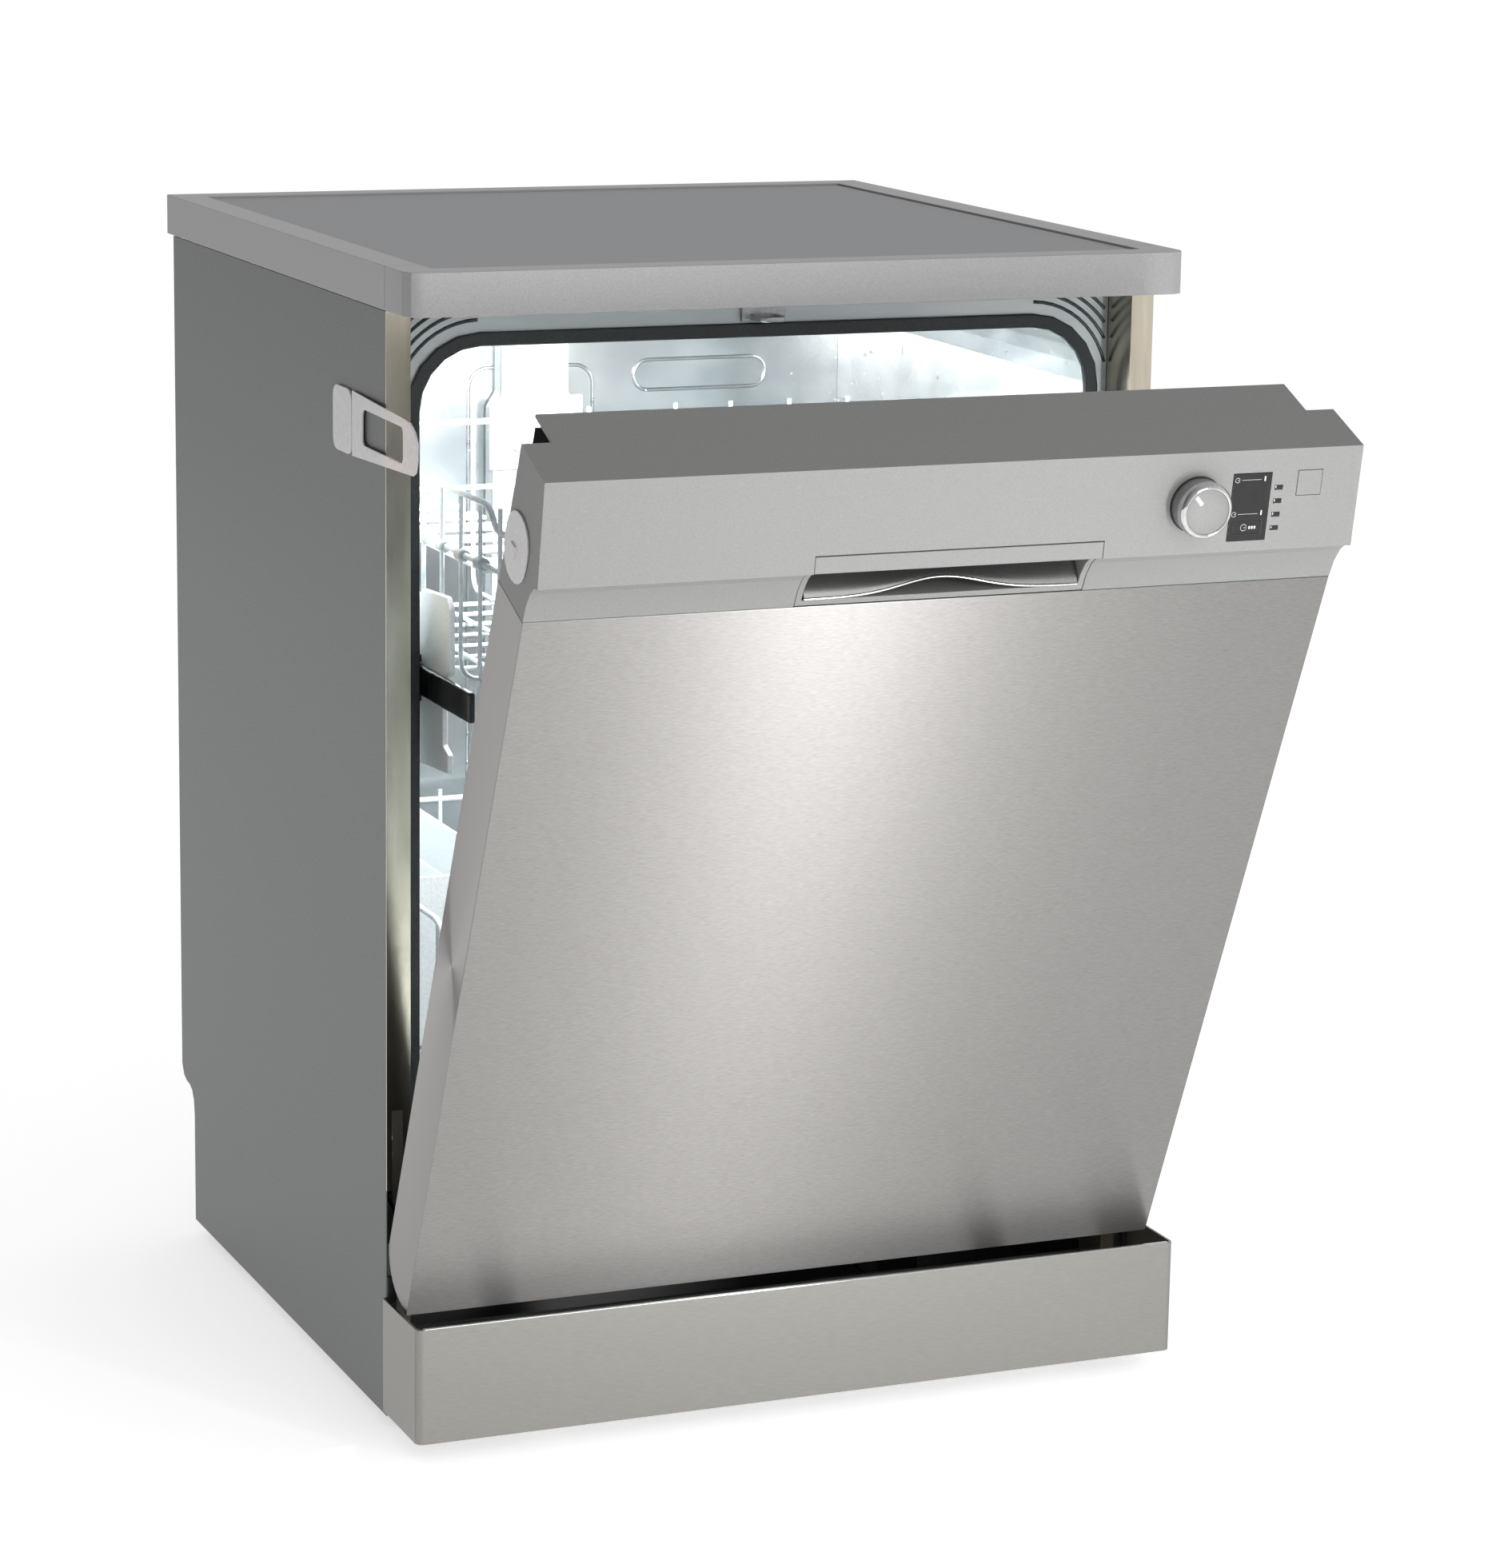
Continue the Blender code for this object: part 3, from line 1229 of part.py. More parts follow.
def dispenser_lid(frame):
    """The sprung lid. Its origin is on its hinge line along its lower edge."""
    margin = 0.004
    width = CHAMBER_HIGH[0] - CHAMBER_LOW[0] + 2 * margin
    height = CHAMBER_HIGH[1] - CHAMBER_LOW[1] + 2 * margin
    centre = ((CHAMBER_LOW[0] + CHAMBER_HIGH[0]) / 2, DISPENSER_FACE + 0.0022, CHAMBER_LOW[1] - margin)
    bm = bmesh.new()
    add_box(bm, (-width / 2, -0.0017, 0.0004), (width / 2, 0.0013, height))
    lid = solid("dispenser_lid", bm, frame, GREY_PLASTIC, centre)
    bm = bmesh.new()
    add_box(bm, (-0.010, 0.0008, height - 0.008), (0.010, 0.0028, height - 0.002))
    boolean(lid, "UNION", "lid_grip", bm)


def rinse_cap(frame):
    bm = bmesh.new()
    profile = [(0, -0.012), (0.0115, -0.012), (0.0115, 0.0004), (0.0190, 0.0004)]
    profile += [(0.0190, 0.0030), (0.0178, 0.0042), (0, 0.0042)]
    add_turned(bm, profile, (0, 0, 0), (0, 1, 0), 28)
    place = (RINSE_PLACE[0], DISPENSER_FACE, RINSE_PLACE[1])
    cap = solid("rinse_cap", bm, frame, GREY_PLASTIC, place, smooth=True)
    bm = bmesh.new()
    add_box(bm, (-0.0022, 0.0035, -0.0145), (0.0022, 0.0072, 0.0145))
    boolean(cap, "UNION", "rinse_grip", bm)


def door_latch(frame):
    """The catch in the top of the door, with the slot that takes the striker."""
    top = DOOR_TOP - PANEL_WALL - GAP
    back = LINER_INNER_Y - GAP
    bm = bmesh.new()
    add_box(bm, (-0.035, 0.000, LINER_TOP - 0.0265), (0.035, back, top))
    latch = solid("door_latch", bm, frame, BLACK_PLASTIC)
    bm = bmesh.new()
    add_box(bm, (-0.019, 0.006, LINER_TOP - 0.002), (0.019, back + 0.01, top + 0.01))
    boolean(latch, "DIFFERENCE", "latch_slot", bm)


def hinge_arms(frame):
    """The levers bolted inside the door's sides, which turn on the posts' pins."""
    for name, sign in (("left", -1), ("right", 1)):
        low, high = mirrored(sign, ARM_X - 0.0015, ARM_X + 0.0015)
        boss = 0.0105
        outline = [(DOOR_FACE + 0.004, 0.300), (DOOR_FACE + 0.004, HINGE_Z - 0.006)]
        for step in range(7):
            angle = math.radians(200 + 115 * step / 6)
            outline.append((HINGE_Y + boss * math.cos(angle), HINGE_Z + boss * math.sin(angle)))
        outline += [(HINGE_Y + 0.016, HINGE_Z - 0.0065), (HINGE_Y + 0.080, HINGE_Z - 0.0065)]
        outline += [(HINGE_Y + 0.084, HINGE_Z), (HINGE_Y + 0.080, HINGE_Z + 0.0065)]
        outline += [(HINGE_Y + 0.016, HINGE_Z + 0.0075), (DOOR_FACE + 0.030, HINGE_Z + 0.030)]
        outline += [(DOOR_FACE + 0.026, 0.300)]
        bm = bmesh.new()
        add_prism(bm, outline, "YZ", low, high)
        arm = solid(f"hinge_arm_{name}", bm, frame, ZINC)
        bm = bmesh.new()
        add_cylinder(bm, (low - 0.01, HINGE_Y, HINGE_Z), (1, 0, 0), PIN_RADIUS + 0.0005, 0.03, 16)
        boolean(arm, "DIFFERENCE", f"arm_bore_{name}", bm)


# ---------------------------------------------------------------- child lock


def child_lock_catch(frame):
    """The round pad stuck to the door's side, with the small catch that holds the strap."""
    side = -DOOR_WIDTH / 2 - GAP
    y, z, half = -0.0265, LOCK_Z + 0.0115, 0.0210
    bm = bmesh.new()
    outline = rounded(y - half, z - half - 0.003, y + half, z + half + 0.003, 0.0195, 5)
    add_prism(bm, outline, "YZ", side - 0.0012, side)
    pad = solid("child_lock_catch", bm, frame, LOCK_PLASTIC)
    bm = bmesh.new()
    add_box(bm, (side - 0.0024, y - 0.001, z - 0.010), (side - 0.0008, y + 0.007, z + 0.0005))
    boolean(pad, "UNION", "catch_block", bm)


def child_lock_strap(frame):
    """The base stuck to the cabinet's side, and the windowed strap that swings on it."""
    side = -SIDE_X - GAP
    low, high = LOCK_Z - LOCK_HALF_HEIGHT, LOCK_Z + LOCK_HALF_HEIGHT
    bm = bmesh.new()
    outline = rounded(LOCK_HINGE_Y + 0.0010, low, LOCK_HINGE_Y + 0.0440, high, 0.009, 3)
    add_prism(bm, outline, "YZ", side - 0.0018, side)
    solid("child_lock_base", bm, frame, LOCK_PLASTIC)

    outer = [
        (0, high),
        (-0.140, high - 0.0045),
        (-0.151, high - 0.0095),
        (-LOCK_REACH, high - 0.0165),
        (-LOCK_REACH, low + 0.0185),
        (-0.153, low + 0.0095),
        (-0.146, low + 0.0065),
        (0, low),
    ]
    inner = rounded(LOCK_WINDOW_FAR, low + 0.0115, LOCK_WINDOW_NEAR, high - 0.0100, 0.005, 3)
    bm = bmesh.new()
    add_ring(bm, outer, inner, "YZ", -LOCK_STRAP / 2, LOCK_STRAP / 2)
    strap = solid(
        "child_lock_strap",
        bm,
        frame,
        LOCK_PLASTIC,
        (side - 0.0002 - LOCK_STRAP / 2, LOCK_HINGE_Y, 0),
    )
    strap.rotation_euler = (0, 0, -math.radians(LOCK_FLARE))


def main():
    clear_scene()
    cabinet = empty("cabinet", (0, ORIGIN_SHIFT_Y, 0))
    door = empty("door_hinge", PIVOT, cabinet, math.radians(DOOR_REST_ANGLE))
    shut_door = empty("door_axes", -PIVOT, door)
    face = empty(
        "panel_face",
        (0, PANEL_FOOT_Y, PANEL_BOTTOM),
        shut_door,
        math.radians(90) - PANEL_ANGLE,
    )
    slid_rack = empty("upper_rack_axes", (0, -UPPER_REST_SHIFT, 0), cabinet)
    slid_rails = empty("rail_axes", (0, -RAIL_REST_SHIFT, 0), cabinet)

    worktop(cabinet)
    side_panels(cabinet)
    rear_panel(cabinet)
    base_pan(cabinet)
    feet(cabinet)
    plinth(cabinet)
    front_posts(cabinet)
    tub_front_flange(cabinet)
    door_gasket(cabinet)
    tub_wrap(cabinet)
    tub_back_wall(cabinet)
    tub_floor(cabinet)
    feed_duct(cabinet)
    sump(cabinet)
    filter_cylinder(cabinet)
    salt_cap(cabinet)
    water_softener(cabinet)
    pumps(cabinet)
    inlet_valve(cabinet)
    striker_loop(cabinet)
    rail_guides(cabinet)
    lower_rack(cabinet)
    cutlery_basket(cabinet)
    spray_arm("lower_spray_arm", cabinet, LOWER_ARM_REACH, LOWER_ARM_Z, STUB_RADIUS + 0.0006)

    upper_rack(slid_rack)
    rack_adjusters(slid_rack)
    cup_shelves(slid_rack)
    spray_arm("upper_spray_arm", slid_rack, UPPER_ARM_REACH, UPPER_ARM_Z, 0.0091)
    rack_rails(slid_rails)

    door_outer_panel(shut_door)
    door_liner(shut_door)
    control_panel(shut_door, face)
    handle_recess(shut_door)
    handle_flap(face)
    program_knob(face)
    display_window(face)
    buttons(face)
    indicator_board(face)
    detergent_dispenser(shut_door)
    dispenser_lid(shut_door)
    rinse_cap(shut_door)
    door_latch(shut_door)
    hinge_arms(shut_door)
    child_lock_catch(shut_door)
    child_lock_strap(cabinet)


main()
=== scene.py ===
import math

import bpy
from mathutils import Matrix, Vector


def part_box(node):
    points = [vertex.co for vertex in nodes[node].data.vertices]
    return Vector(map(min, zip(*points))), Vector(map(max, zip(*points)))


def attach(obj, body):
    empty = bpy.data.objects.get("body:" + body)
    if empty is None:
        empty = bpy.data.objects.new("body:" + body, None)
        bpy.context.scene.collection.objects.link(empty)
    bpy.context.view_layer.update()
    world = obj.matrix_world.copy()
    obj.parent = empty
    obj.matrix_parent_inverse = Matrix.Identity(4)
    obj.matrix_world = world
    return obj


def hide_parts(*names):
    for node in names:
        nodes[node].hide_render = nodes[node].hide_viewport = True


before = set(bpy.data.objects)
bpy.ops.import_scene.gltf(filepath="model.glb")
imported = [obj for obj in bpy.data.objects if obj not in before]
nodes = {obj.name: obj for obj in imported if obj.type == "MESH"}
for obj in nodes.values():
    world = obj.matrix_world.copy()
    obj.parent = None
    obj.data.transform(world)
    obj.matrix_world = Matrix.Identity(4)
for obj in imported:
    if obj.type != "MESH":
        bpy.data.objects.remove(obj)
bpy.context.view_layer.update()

# ------------------------------------------------------------------ studio
# Not a piece of the machine: a seamless paper floor, a low narrow lamp that draws the bright band
# down the brushed door, a broad lamp high in front, a small one in the tub's mouth, and a surround
# that dims overhead and to the left. The camera stands to the machine's left, a little above it.

bpy.context.scene.view_settings.view_transform = "Standard"


def colour(hex_code):
    """A written colour as the linear numbers that shaders take."""
    parts = [int(hex_code[i : i + 2], 16) / 255 for i in (1, 3, 5)]
    return (*[p / 12.92 if p <= 0.04045 else ((p + 0.055) / 1.055) ** 2.4 for p in parts], 1)


def add_node(tree, kind, inputs=None, **settings):
    """Adds a node with its settings; an input is either a number or another node's output."""
    made = tree.nodes.new(kind)
    for name, value in settings.items():
        setattr(made, name, value)
    for name, value in (inputs or {}).items():
        if isinstance(value, bpy.types.NodeSocket):
            tree.links.new(value, made.inputs[name])
        else:
            made.inputs[name].default_value = value
    return made


def new_material(name, base, roughness, metallic=0.0, **sockets):
    """A named material with its even values on the shader's own sockets."""
    made = bpy.data.materials.new(name)
    made.use_nodes = True
    shader = made.node_tree.nodes["Principled BSDF"]
    shader.inputs["Base Color"].default_value = colour(base)
    shader.inputs["Roughness"].default_value = roughness
    shader.inputs["Metallic"].default_value = metallic
    for socket, value in sockets.items():
        shader.inputs[socket.replace("_", " ")].default_value = value
    return made


def grain(material, dark, light, size_mm, stretch=(1, 1, 1), bump=0.0, low=0.35, high=0.65, detail=3.0):
    """Varies a material's colour and height with noise whose features are size_mm across."""
    tree = material.node_tree
    shader = tree.nodes["Principled BSDF"]
    place = add_node(tree, "ShaderNodeTexCoord")
    scaled = add_node(
        tree, "ShaderNodeMapping", {"Vector": place.outputs["Object"], "Scale": stretch}
    )
    noise = add_node(
        tree,
        "ShaderNodeTexNoise",
        {"Vector": scaled.outputs["Vector"], "Scale": 1000 / size_mm, "Detail": detail},
    )
    ramp = add_node(tree, "ShaderNodeValToRGB", {"Fac": noise.outputs["Fac"]})
    ramp.color_ramp.elements[0].position = low
    ramp.color_ramp.elements[0].color = colour(dark)
    ramp.color_ramp.elements[1].position = high
    ramp.color_ramp.elements[1].color = colour(light)
    tree.links.new(ramp.outputs["Color"], shader.inputs["Base Color"])
    if bump:
        height = add_node(
            tree,
            "ShaderNodeBump",
            {"Height": noise.outputs["Fac"], "Distance": bump, "Strength": 0.6},
        )
        tree.links.new(height.outputs["Normal"], shader.inputs["Normal"])
    return noise


bpy.ops.object.select_all(action="DESELECT")

# Matt paper that glows a little, so that the floor runs out into white and keeps only soft shadows.
floor_paper = new_material("seamless_paper_floor", "#FAFAFA", 0.85)
grain(floor_paper, "#F7F7F7", "#FDFDFD", 6)
paper_glow = floor_paper.node_tree.nodes["Principled BSDF"].inputs
paper_glow["Emission Color"].default_value = (1, 1, 1, 1)
paper_glow["Emission Strength"].default_value = 0.60
bpy.ops.mesh.primitive_grid_add(x_subdivisions=8, y_subdivisions=8, size=9, location=(0, 0, 0))
floor = bpy.context.object
floor.name = "floor"
floor.data.materials.append(floor_paper)

# The surround lights the top and the left side less than the door. Seen directly it is plain white.
world = bpy.data.worlds.new("surround")
bpy.context.scene.world = world
world.use_nodes = True
sky = add_node(world.node_tree, "ShaderNodeTexCoord")
height = add_node(world.node_tree, "ShaderNodeSeparateXYZ", {"Vector": sky.outputs["Generated"]})
fade = add_node(
    world.node_tree,
    "ShaderNodeMapRange",
    {"Value": height.outputs["Z"], "From Min": 0.05, "From Max": 0.80, "To Min": 1.02, "To Max": 0.46},
)
flag = add_node(
    world.node_tree,
    "ShaderNodeMapRange",
    {"Value": height.outputs["X"], "From Min": -0.95, "From Max": 0.05, "To Min": 0.14, "To Max": 1.0},
)
sky_level = add_node(
    world.node_tree,
    "ShaderNodeMath",
    {0: fade.outputs["Result"], 1: flag.outputs["Result"]},
    operation="MULTIPLY",
)
rays = add_node(world.node_tree, "ShaderNodeLightPath")
seen_white = add_node(
    world.node_tree,
    "ShaderNodeMath",
    {0: sky_level.outputs["Value"], 1: rays.outputs["Is Camera Ray"]},
    operation="MAXIMUM",
)
surround = world.node_tree.nodes["Background"]
surround.inputs["Color"].default_value = (1, 1, 1, 1)
world.node_tree.links.new(seen_white.outputs["Value"], surround.inputs["Strength"])


def soft_box(name, place, aim, width, height, power):
    """A rectangular lamp at a place, turned towards a point, with its power in watts."""
    lamp = bpy.data.lights.new(name, "AREA")
    lamp.shape = "RECTANGLE"
    lamp.size, lamp.size_y, lamp.energy = width, height, power
    holder = bpy.data.objects.new(name, lamp)
    holder.location = place
    holder.rotation_euler = (Vector(aim) - Vector(place)).to_track_quat("-Z", "Y").to_euler()
    bpy.context.scene.collection.objects.link(holder)
    return holder


soft_box("tall_box", (0.47, -1.60, 0.30), (0, -0.30, 0.42), 0.08, 0.56, 7.6)
soft_box("high_box", (0.5, -3.1, 1.9), (0, -0.1, 0.6), 1.4, 1.4, 17)
inside = soft_box("tub_box", (-0.06, -0.030, 0.770), (-0.19, 0.39, 0.52), 0.26, 0.05, 11.0)
inside.visible_camera = False

lens = bpy.data.cameras.new("camera")
lens.sensor_width = 36
lens.lens = 107.36
camera = bpy.data.objects.new("camera", lens)
camera.location = (-1.3149, -3.1945, 1.1941)
camera.rotation_euler = [math.radians(a) for a in (77.6782, -0.8928, -22.5927)]
bpy.context.scene.collection.objects.link(camera)
bpy.context.scene.camera = camera

# ------------------------------------------------------------------ cabinet sides and back
# Side and rear panels of pre-painted sheet steel, folded and screwed to the base. The sides have a
# satin metallic grey paint; the back is bare galvanised sheet with pressed swages.

# Depths on the cabinet are counted from this line, which lies just ahead of the side panels.
CABINET_Y = -0.1113


def edit(obj):
    """Opens one piece in edit mode with all of it selected."""
    bpy.ops.object.select_all(action="DESELECT")
    obj.select_set(True)
    bpy.context.view_layer.objects.active = obj
    bpy.ops.object.mode_set(mode="EDIT")
    bpy.ops.mesh.select_all(action="SELECT")


def done(obj, angle=35):
    """Leaves edit mode with normals outward and smooth shading up to an angle."""
    bpy.ops.mesh.select_all(action="SELECT")
    bpy.ops.mesh.normals_make_consistent(inside=False)
    bpy.ops.object.mode_set(mode="OBJECT")
    bpy.ops.object.shade_smooth_by_angle(angle=math.radians(angle))
    obj.select_set(False)


def fit(obj, body, material, slot, *replaced):
    """Gives a finished piece its material, the body it moves with and the nodes it stands for."""
    obj.data.materials.clear()
    obj.data.materials.append(material)
    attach(obj, body)
    if replaced:
        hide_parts(*replaced)


def flatten(obj):
    """Keeps broad faces flat in shading, so that only their rounded edges turn the light."""
    even = obj.modifiers.new("even_faces", "WEIGHTED_NORMAL")
    even.weight = 100
    even.keep_sharp = True
    bpy.context.view_layer.objects.active = obj
    obj.select_set(True)
    bpy.ops.object.modifier_apply(modifier=even.name)
    obj.select_set(False)


def softened(node, width, material, body, slot, segments=3, angle=32):
    """A copy of a node with its real edge radii, shown in the node's stead."""
    copy = nodes[node].copy()
    copy.data = nodes[node].data.copy()
    copy.name = node + "_shown"
    copy.parent = None
    bpy.context.scene.collection.objects.link(copy)
    edit(copy)
    bpy.ops.mesh.remove_doubles(threshold=0.00001)
    bpy.ops.mesh.dissolve_limited(angle_limit=math.radians(1))
    bpy.ops.object.mode_set(mode="OBJECT")
    rounding = copy.modifiers.new("edge_radius", "BEVEL")
    rounding.width = width
    rounding.segments = segments
    rounding.angle_limit = math.radians(angle)
    rounding.harden_normals = False
    bpy.ops.object.modifier_apply(modifier=rounding.name)
    edit(copy)
    done(copy)
    flatten(copy)
    fit(copy, body, material, slot, node)
    return copy


# Baked paint with metal flakes: a soft sheen that never turns sharp. The flakes are drawn larger
# than real ones, which would be too fine to show.
satin_grey_paint = new_material("satin_metallic_grey_paint", "#676A69", 0.42, 0.35)
grain(satin_grey_paint, "#626564", "#6D706F", 1.6, bump=0.00002)
for side in ("left", "right"):
    softened("side_panel_" + side, 0.0005, satin_grey_paint, "cabinet", "cabinet_paint", 2)

# Hot-dipped zinc sets in broad crystals, which show as faint paler and darker patches.
galvanised_sheet = new_material("galvanised_sheet_steel", "#8E9193", 0.38, 0.9)
grain(galvanised_sheet, "#878B8D", "#959A9C", 14, detail=1.0)
softened("rear_panel", 0.0010, galvanised_sheet, "cabinet", "galvanised", 2)

# ------------------------------------------------------------------ base, feet, pumps and valves
# The base pan is moulded polypropylene. The feet, sump, pumps, softener and inlet valve are fixed
# in it, mostly plain moulded plastic with zinc-plated pump casings.

# Moulded plastics take their mould's fine grain: dull on the black, smoother on grey and white.
# The grain is drawn coarser than the real one, so that it shows. Zinc plate is bright but cloudy.
black_moulding = new_material("black_moulded_polypropylene", "#1B1C1D", 0.45)
grain(black_moulding, "#151617", "#232425", 0.9, bump=0.00003)
grey_moulding = new_material("grey_moulded_polypropylene", "#9A9DA0", 0.42)
grain(grey_moulding, "#919497", "#A3A6A9", 1.2, bump=0.00002)
white_moulding = new_material("white_moulded_polypropylene", "#DDE3E4", 0.34)
grain(white_moulding, "#D6DDDE", "#E4E9EA", 2.0, bump=0.00001)
zinc_plate = new_material("zinc_plated_steel", "#A9ABAC", 0.30, 1.0)
grain(zinc_plate, "#9FA1A2", "#B4B6B7", 5)

softened("base_pan", 0.0012, black_moulding, "cabinet", "black_plastic", 2)
for corner in ("front_left", "front_right", "rear_left", "rear_right"):
    softened("foot_" + corner, 0.0005, black_moulding, "cabinet", "black_plastic", 2)
for node, material, slot in (
    ("sump", grey_moulding, "grey_plastic"),
    ("drain_pump", black_moulding, "black_plastic"),
    ("circulation_pump", zinc_plate, "zinc"),
    ("water_softener", white_moulding, "white_plastic"),
    ("inlet_valve", white_moulding, "white_plastic"),
):
    softened(node, 0.0010, material, "cabinet", slot, 2)

# ------------------------------------------------------------------ worktop
# A laminated chipboard board laid in a moulded frame, with a separate moulded trim across the front
# whose side arms meet the frame at a fine seam. Frame and trim are ABS with a silver-grey lacquer.

# The lacquer's metal flakes make broad faces pale and lively, and are drawn larger than they are.
# The laminate is matt and reflects nothing clearly.
silver_lacquer = new_material("silver_grey_lacquered_abs", "#A9A8A9", 0.42, 0.25)
grain(silver_lacquer, "#9D9C9D", "#A9A8A9", 0.8, bump=0.00001)
grey_laminate = new_material("grey_melamine_laminate", "#96989C", 0.52, 0.0)
grain(grey_laminate, "#929498", "#9A9CA0", 1.2)
softened("worktop_front_trim", 0.0022, silver_lacquer, "cabinet", "worktop", 4, 25)
softened("worktop_frame", 0.0018, silver_lacquer, "cabinet", "worktop", 3)
softened("worktop_board", 0.0008, grey_laminate, "cabinet", "worktop_board", 2)

# ------------------------------------------------------------------ front posts and plinth
# The two posts are folded from bright rolled stainless strip, and the plinth from brushed stainless
# with a rolled top edge. Rolled steel shows faint streaks along its length.


def streaks(material, dark, light, size_mm, stretch, rough_low, rough_high, bump=0.0):
    """Brushing or rolling marks: noise drawn out along one axis, in colour, gloss and height."""
    noise = grain(material, dark, light, size_mm, stretch, bump, 0.30, 0.70, 4.0)
    tree = material.node_tree
    gloss = add_node(
        tree,
        "ShaderNodeMapRange",
        {"Value": noise.outputs["Fac"], "To Min": rough_low, "To Max": rough_high},
    )
    tree.links.new(gloss.outputs["Result"], tree.nodes["Principled BSDF"].inputs["Roughness"])


# Bright strip: long soft streaks from the rolls, and a slightly warm reflection.
rolled_stainless = new_material("rolled_stainless_strip", "#BAB3A4", 0.24, 1.0)
streaks(rolled_stainless, "#ADA696", "#C6BFB0", 14, (1, 1, 0.10), 0.16, 0.27)
for side in ("left", "right"):
    softened("front_post_" + side, 0.0003, rolled_stainless, "cabinet", "strip_steel", 2)

# Satin finish: an even grey with fine level marks, which are drawn coarser than the real grit's.
satin_stainless = new_material("satin_stainless_plinth", "#908E8A", 0.36, 1.0)
streaks(satin_stainless, "#8D8B87", "#95938F", 0.8, (0.10, 1, 1), 0.33, 0.37)
softened("plinth", 0.0006, satin_stainless, "cabinet", "steel_door", 2)


def block(name, low, high, radius=0.0, segments=2):
    """A block between two corners, with its edges rounded."""
    low, high = Vector(low), Vector(high)
    bpy.ops.object.select_all(action="DESELECT")
    bpy.ops.mesh.primitive_cube_add(size=1, location=(low + high) / 2, scale=high - low)
    made = bpy.context.object
    made.name = name
    bpy.ops.object.transform_apply(location=True, rotation=True, scale=True)
    edit(made)
    if radius:
        bpy.ops.mesh.bevel(offset=radius, segments=segments, affect="EDGES")
    done(made)
    return made


# The bright rolled bead along the plinth's top edge.
plinth_low, plinth_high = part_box("plinth")
bead = block(
    "plinth_top_bead",
    (plinth_low[0] + 0.005, plinth_low[1] + 0.0002, plinth_high[2] - 0.0012),
    (plinth_high[0] - 0.005, plinth_low[1] + 0.0032, plinth_high[2] + 0.0008),
    0.0009,
    3,
)
# Rolling over burnishes the sheet, and the bead's pale colour is also a painted highlight, so it shows
# as a bright line.
highlight_edge = new_material("rolled_steel_edge_painted_highlight", "#D8D7D3", 0.16, 1.0)
grain(highlight_edge, "#CFCECA", "#DEDDDA", 3)
fit(bead, "cabinet", highlight_edge, "steel_door")

# Black blocks in the slots between the posts' feet and the side panels, as painted shade for the dark
# slots.
for side, sign in (("left", -1), ("right", 1)):
    near, far = sorted((sign * 0.2915, sign * 0.2986))
    strip = block(
        "post_foot_painted_shade_" + side,
        (near, CABINET_Y - 0.0005, 0.024),
        (far, CABINET_Y + 0.0050, 0.117),
        0.0006,
    )
    fit(strip, "cabinet", black_moulding, "black_plastic")
    # The same black block at the plinth's end is painted shade for the slot there.
    near, far = sorted((sign * 0.2984, sign * 0.3010))
    tab = block(
        "plinth_end_painted_shade_" + side,
        (near, CABINET_Y - 0.0040, 0.0158),
        (far, CABINET_Y + 0.0023, 0.1010),
        0.0004,
    )
    fit(tab, "cabinet", black_moulding, "black_plastic")

# ------------------------------------------------------------------ tub
# The wash tub is pressed and welded from polished stainless sheet, and is still wet: small drops
# stand on its walls. Arc-shaped ribs stiffen the flange at the mouth's two upper corners.


DROP_SPACING_MM = 9.0


def wet_steel(name, base, dark, light, rough):
    """Polished steel with cloudy patches and small raised water drops in about half of its cells."""
    made = new_material(name, base, rough, 1.0)
    noise = grain(made, dark, light, 60, detail=2.0)
    tree = made.node_tree
    shader = tree.nodes["Principled BSDF"]
    drops = add_node(
        tree,
        "ShaderNodeTexVoronoi",
        {"Vector": noise.inputs["Vector"].links[0].from_socket, "Scale": 1000 / DROP_SPACING_MM},
    )
    tops = add_node(
        tree,
        "ShaderNodeMapRange",
        {
            "Value": drops.outputs["Distance"],
            "From Min": 0.10,
            "From Max": 0.24,
            "To Min": 1.0,
            "To Max": 0.0,
        },
        interpolation_type="SMOOTHSTEP",
    )
    some = add_node(
        tree,
        "ShaderNodeMath",
        {0: drops.outputs["Color"], 1: 0.55},
        operation="GREATER_THAN",
    )
    wet = add_node(
        tree,
        "ShaderNodeMath",
        {0: tops.outputs["Result"], 1: some.outputs[0]},
        operation="MULTIPLY",
    )
    height = add_node(
        tree, "ShaderNodeBump", {"Height": wet.outputs[0], "Distance": 0.0009, "Strength": 0.8}
    )
    tree.links.new(height.outputs["Normal"], shader.inputs["Normal"])
    return made


# Inside, the polish mirrors the racks softly and the drops catch small points of light. The flange
# outside the gasket stays dry, and its rolled surface is duller.
wet_stainless = wet_steel("wet_polished_stainless", "#D4D6D6", "#C6C9CA", "#DFE1E1", 0.20)
dry_stainless = new_material("polished_stainless_flange", "#C6CDCE", 0.40, 0.50)
streaks(dry_stainless, "#BAC1C3", "#CAD0D1", 20, (0.2, 1, 1), 0.30, 0.38)
for node in ("tub_wrap", "tub_back_wall", "tub_floor"):
    nodes[node].data.materials[0] = wet_stainless
nodes["tub_front_flange"].data.materials[0] = dry_stainless

MOUTH_HALF, MOUTH_TOP, MOUTH_RADIUS = 0.262, 0.787, 0.045
FLANGE_FACE = CABINET_Y + 0.038
FLANGE_TOP, FLANGE_SIDE = 0.8160, 0.2790
RIB_END = 1.5


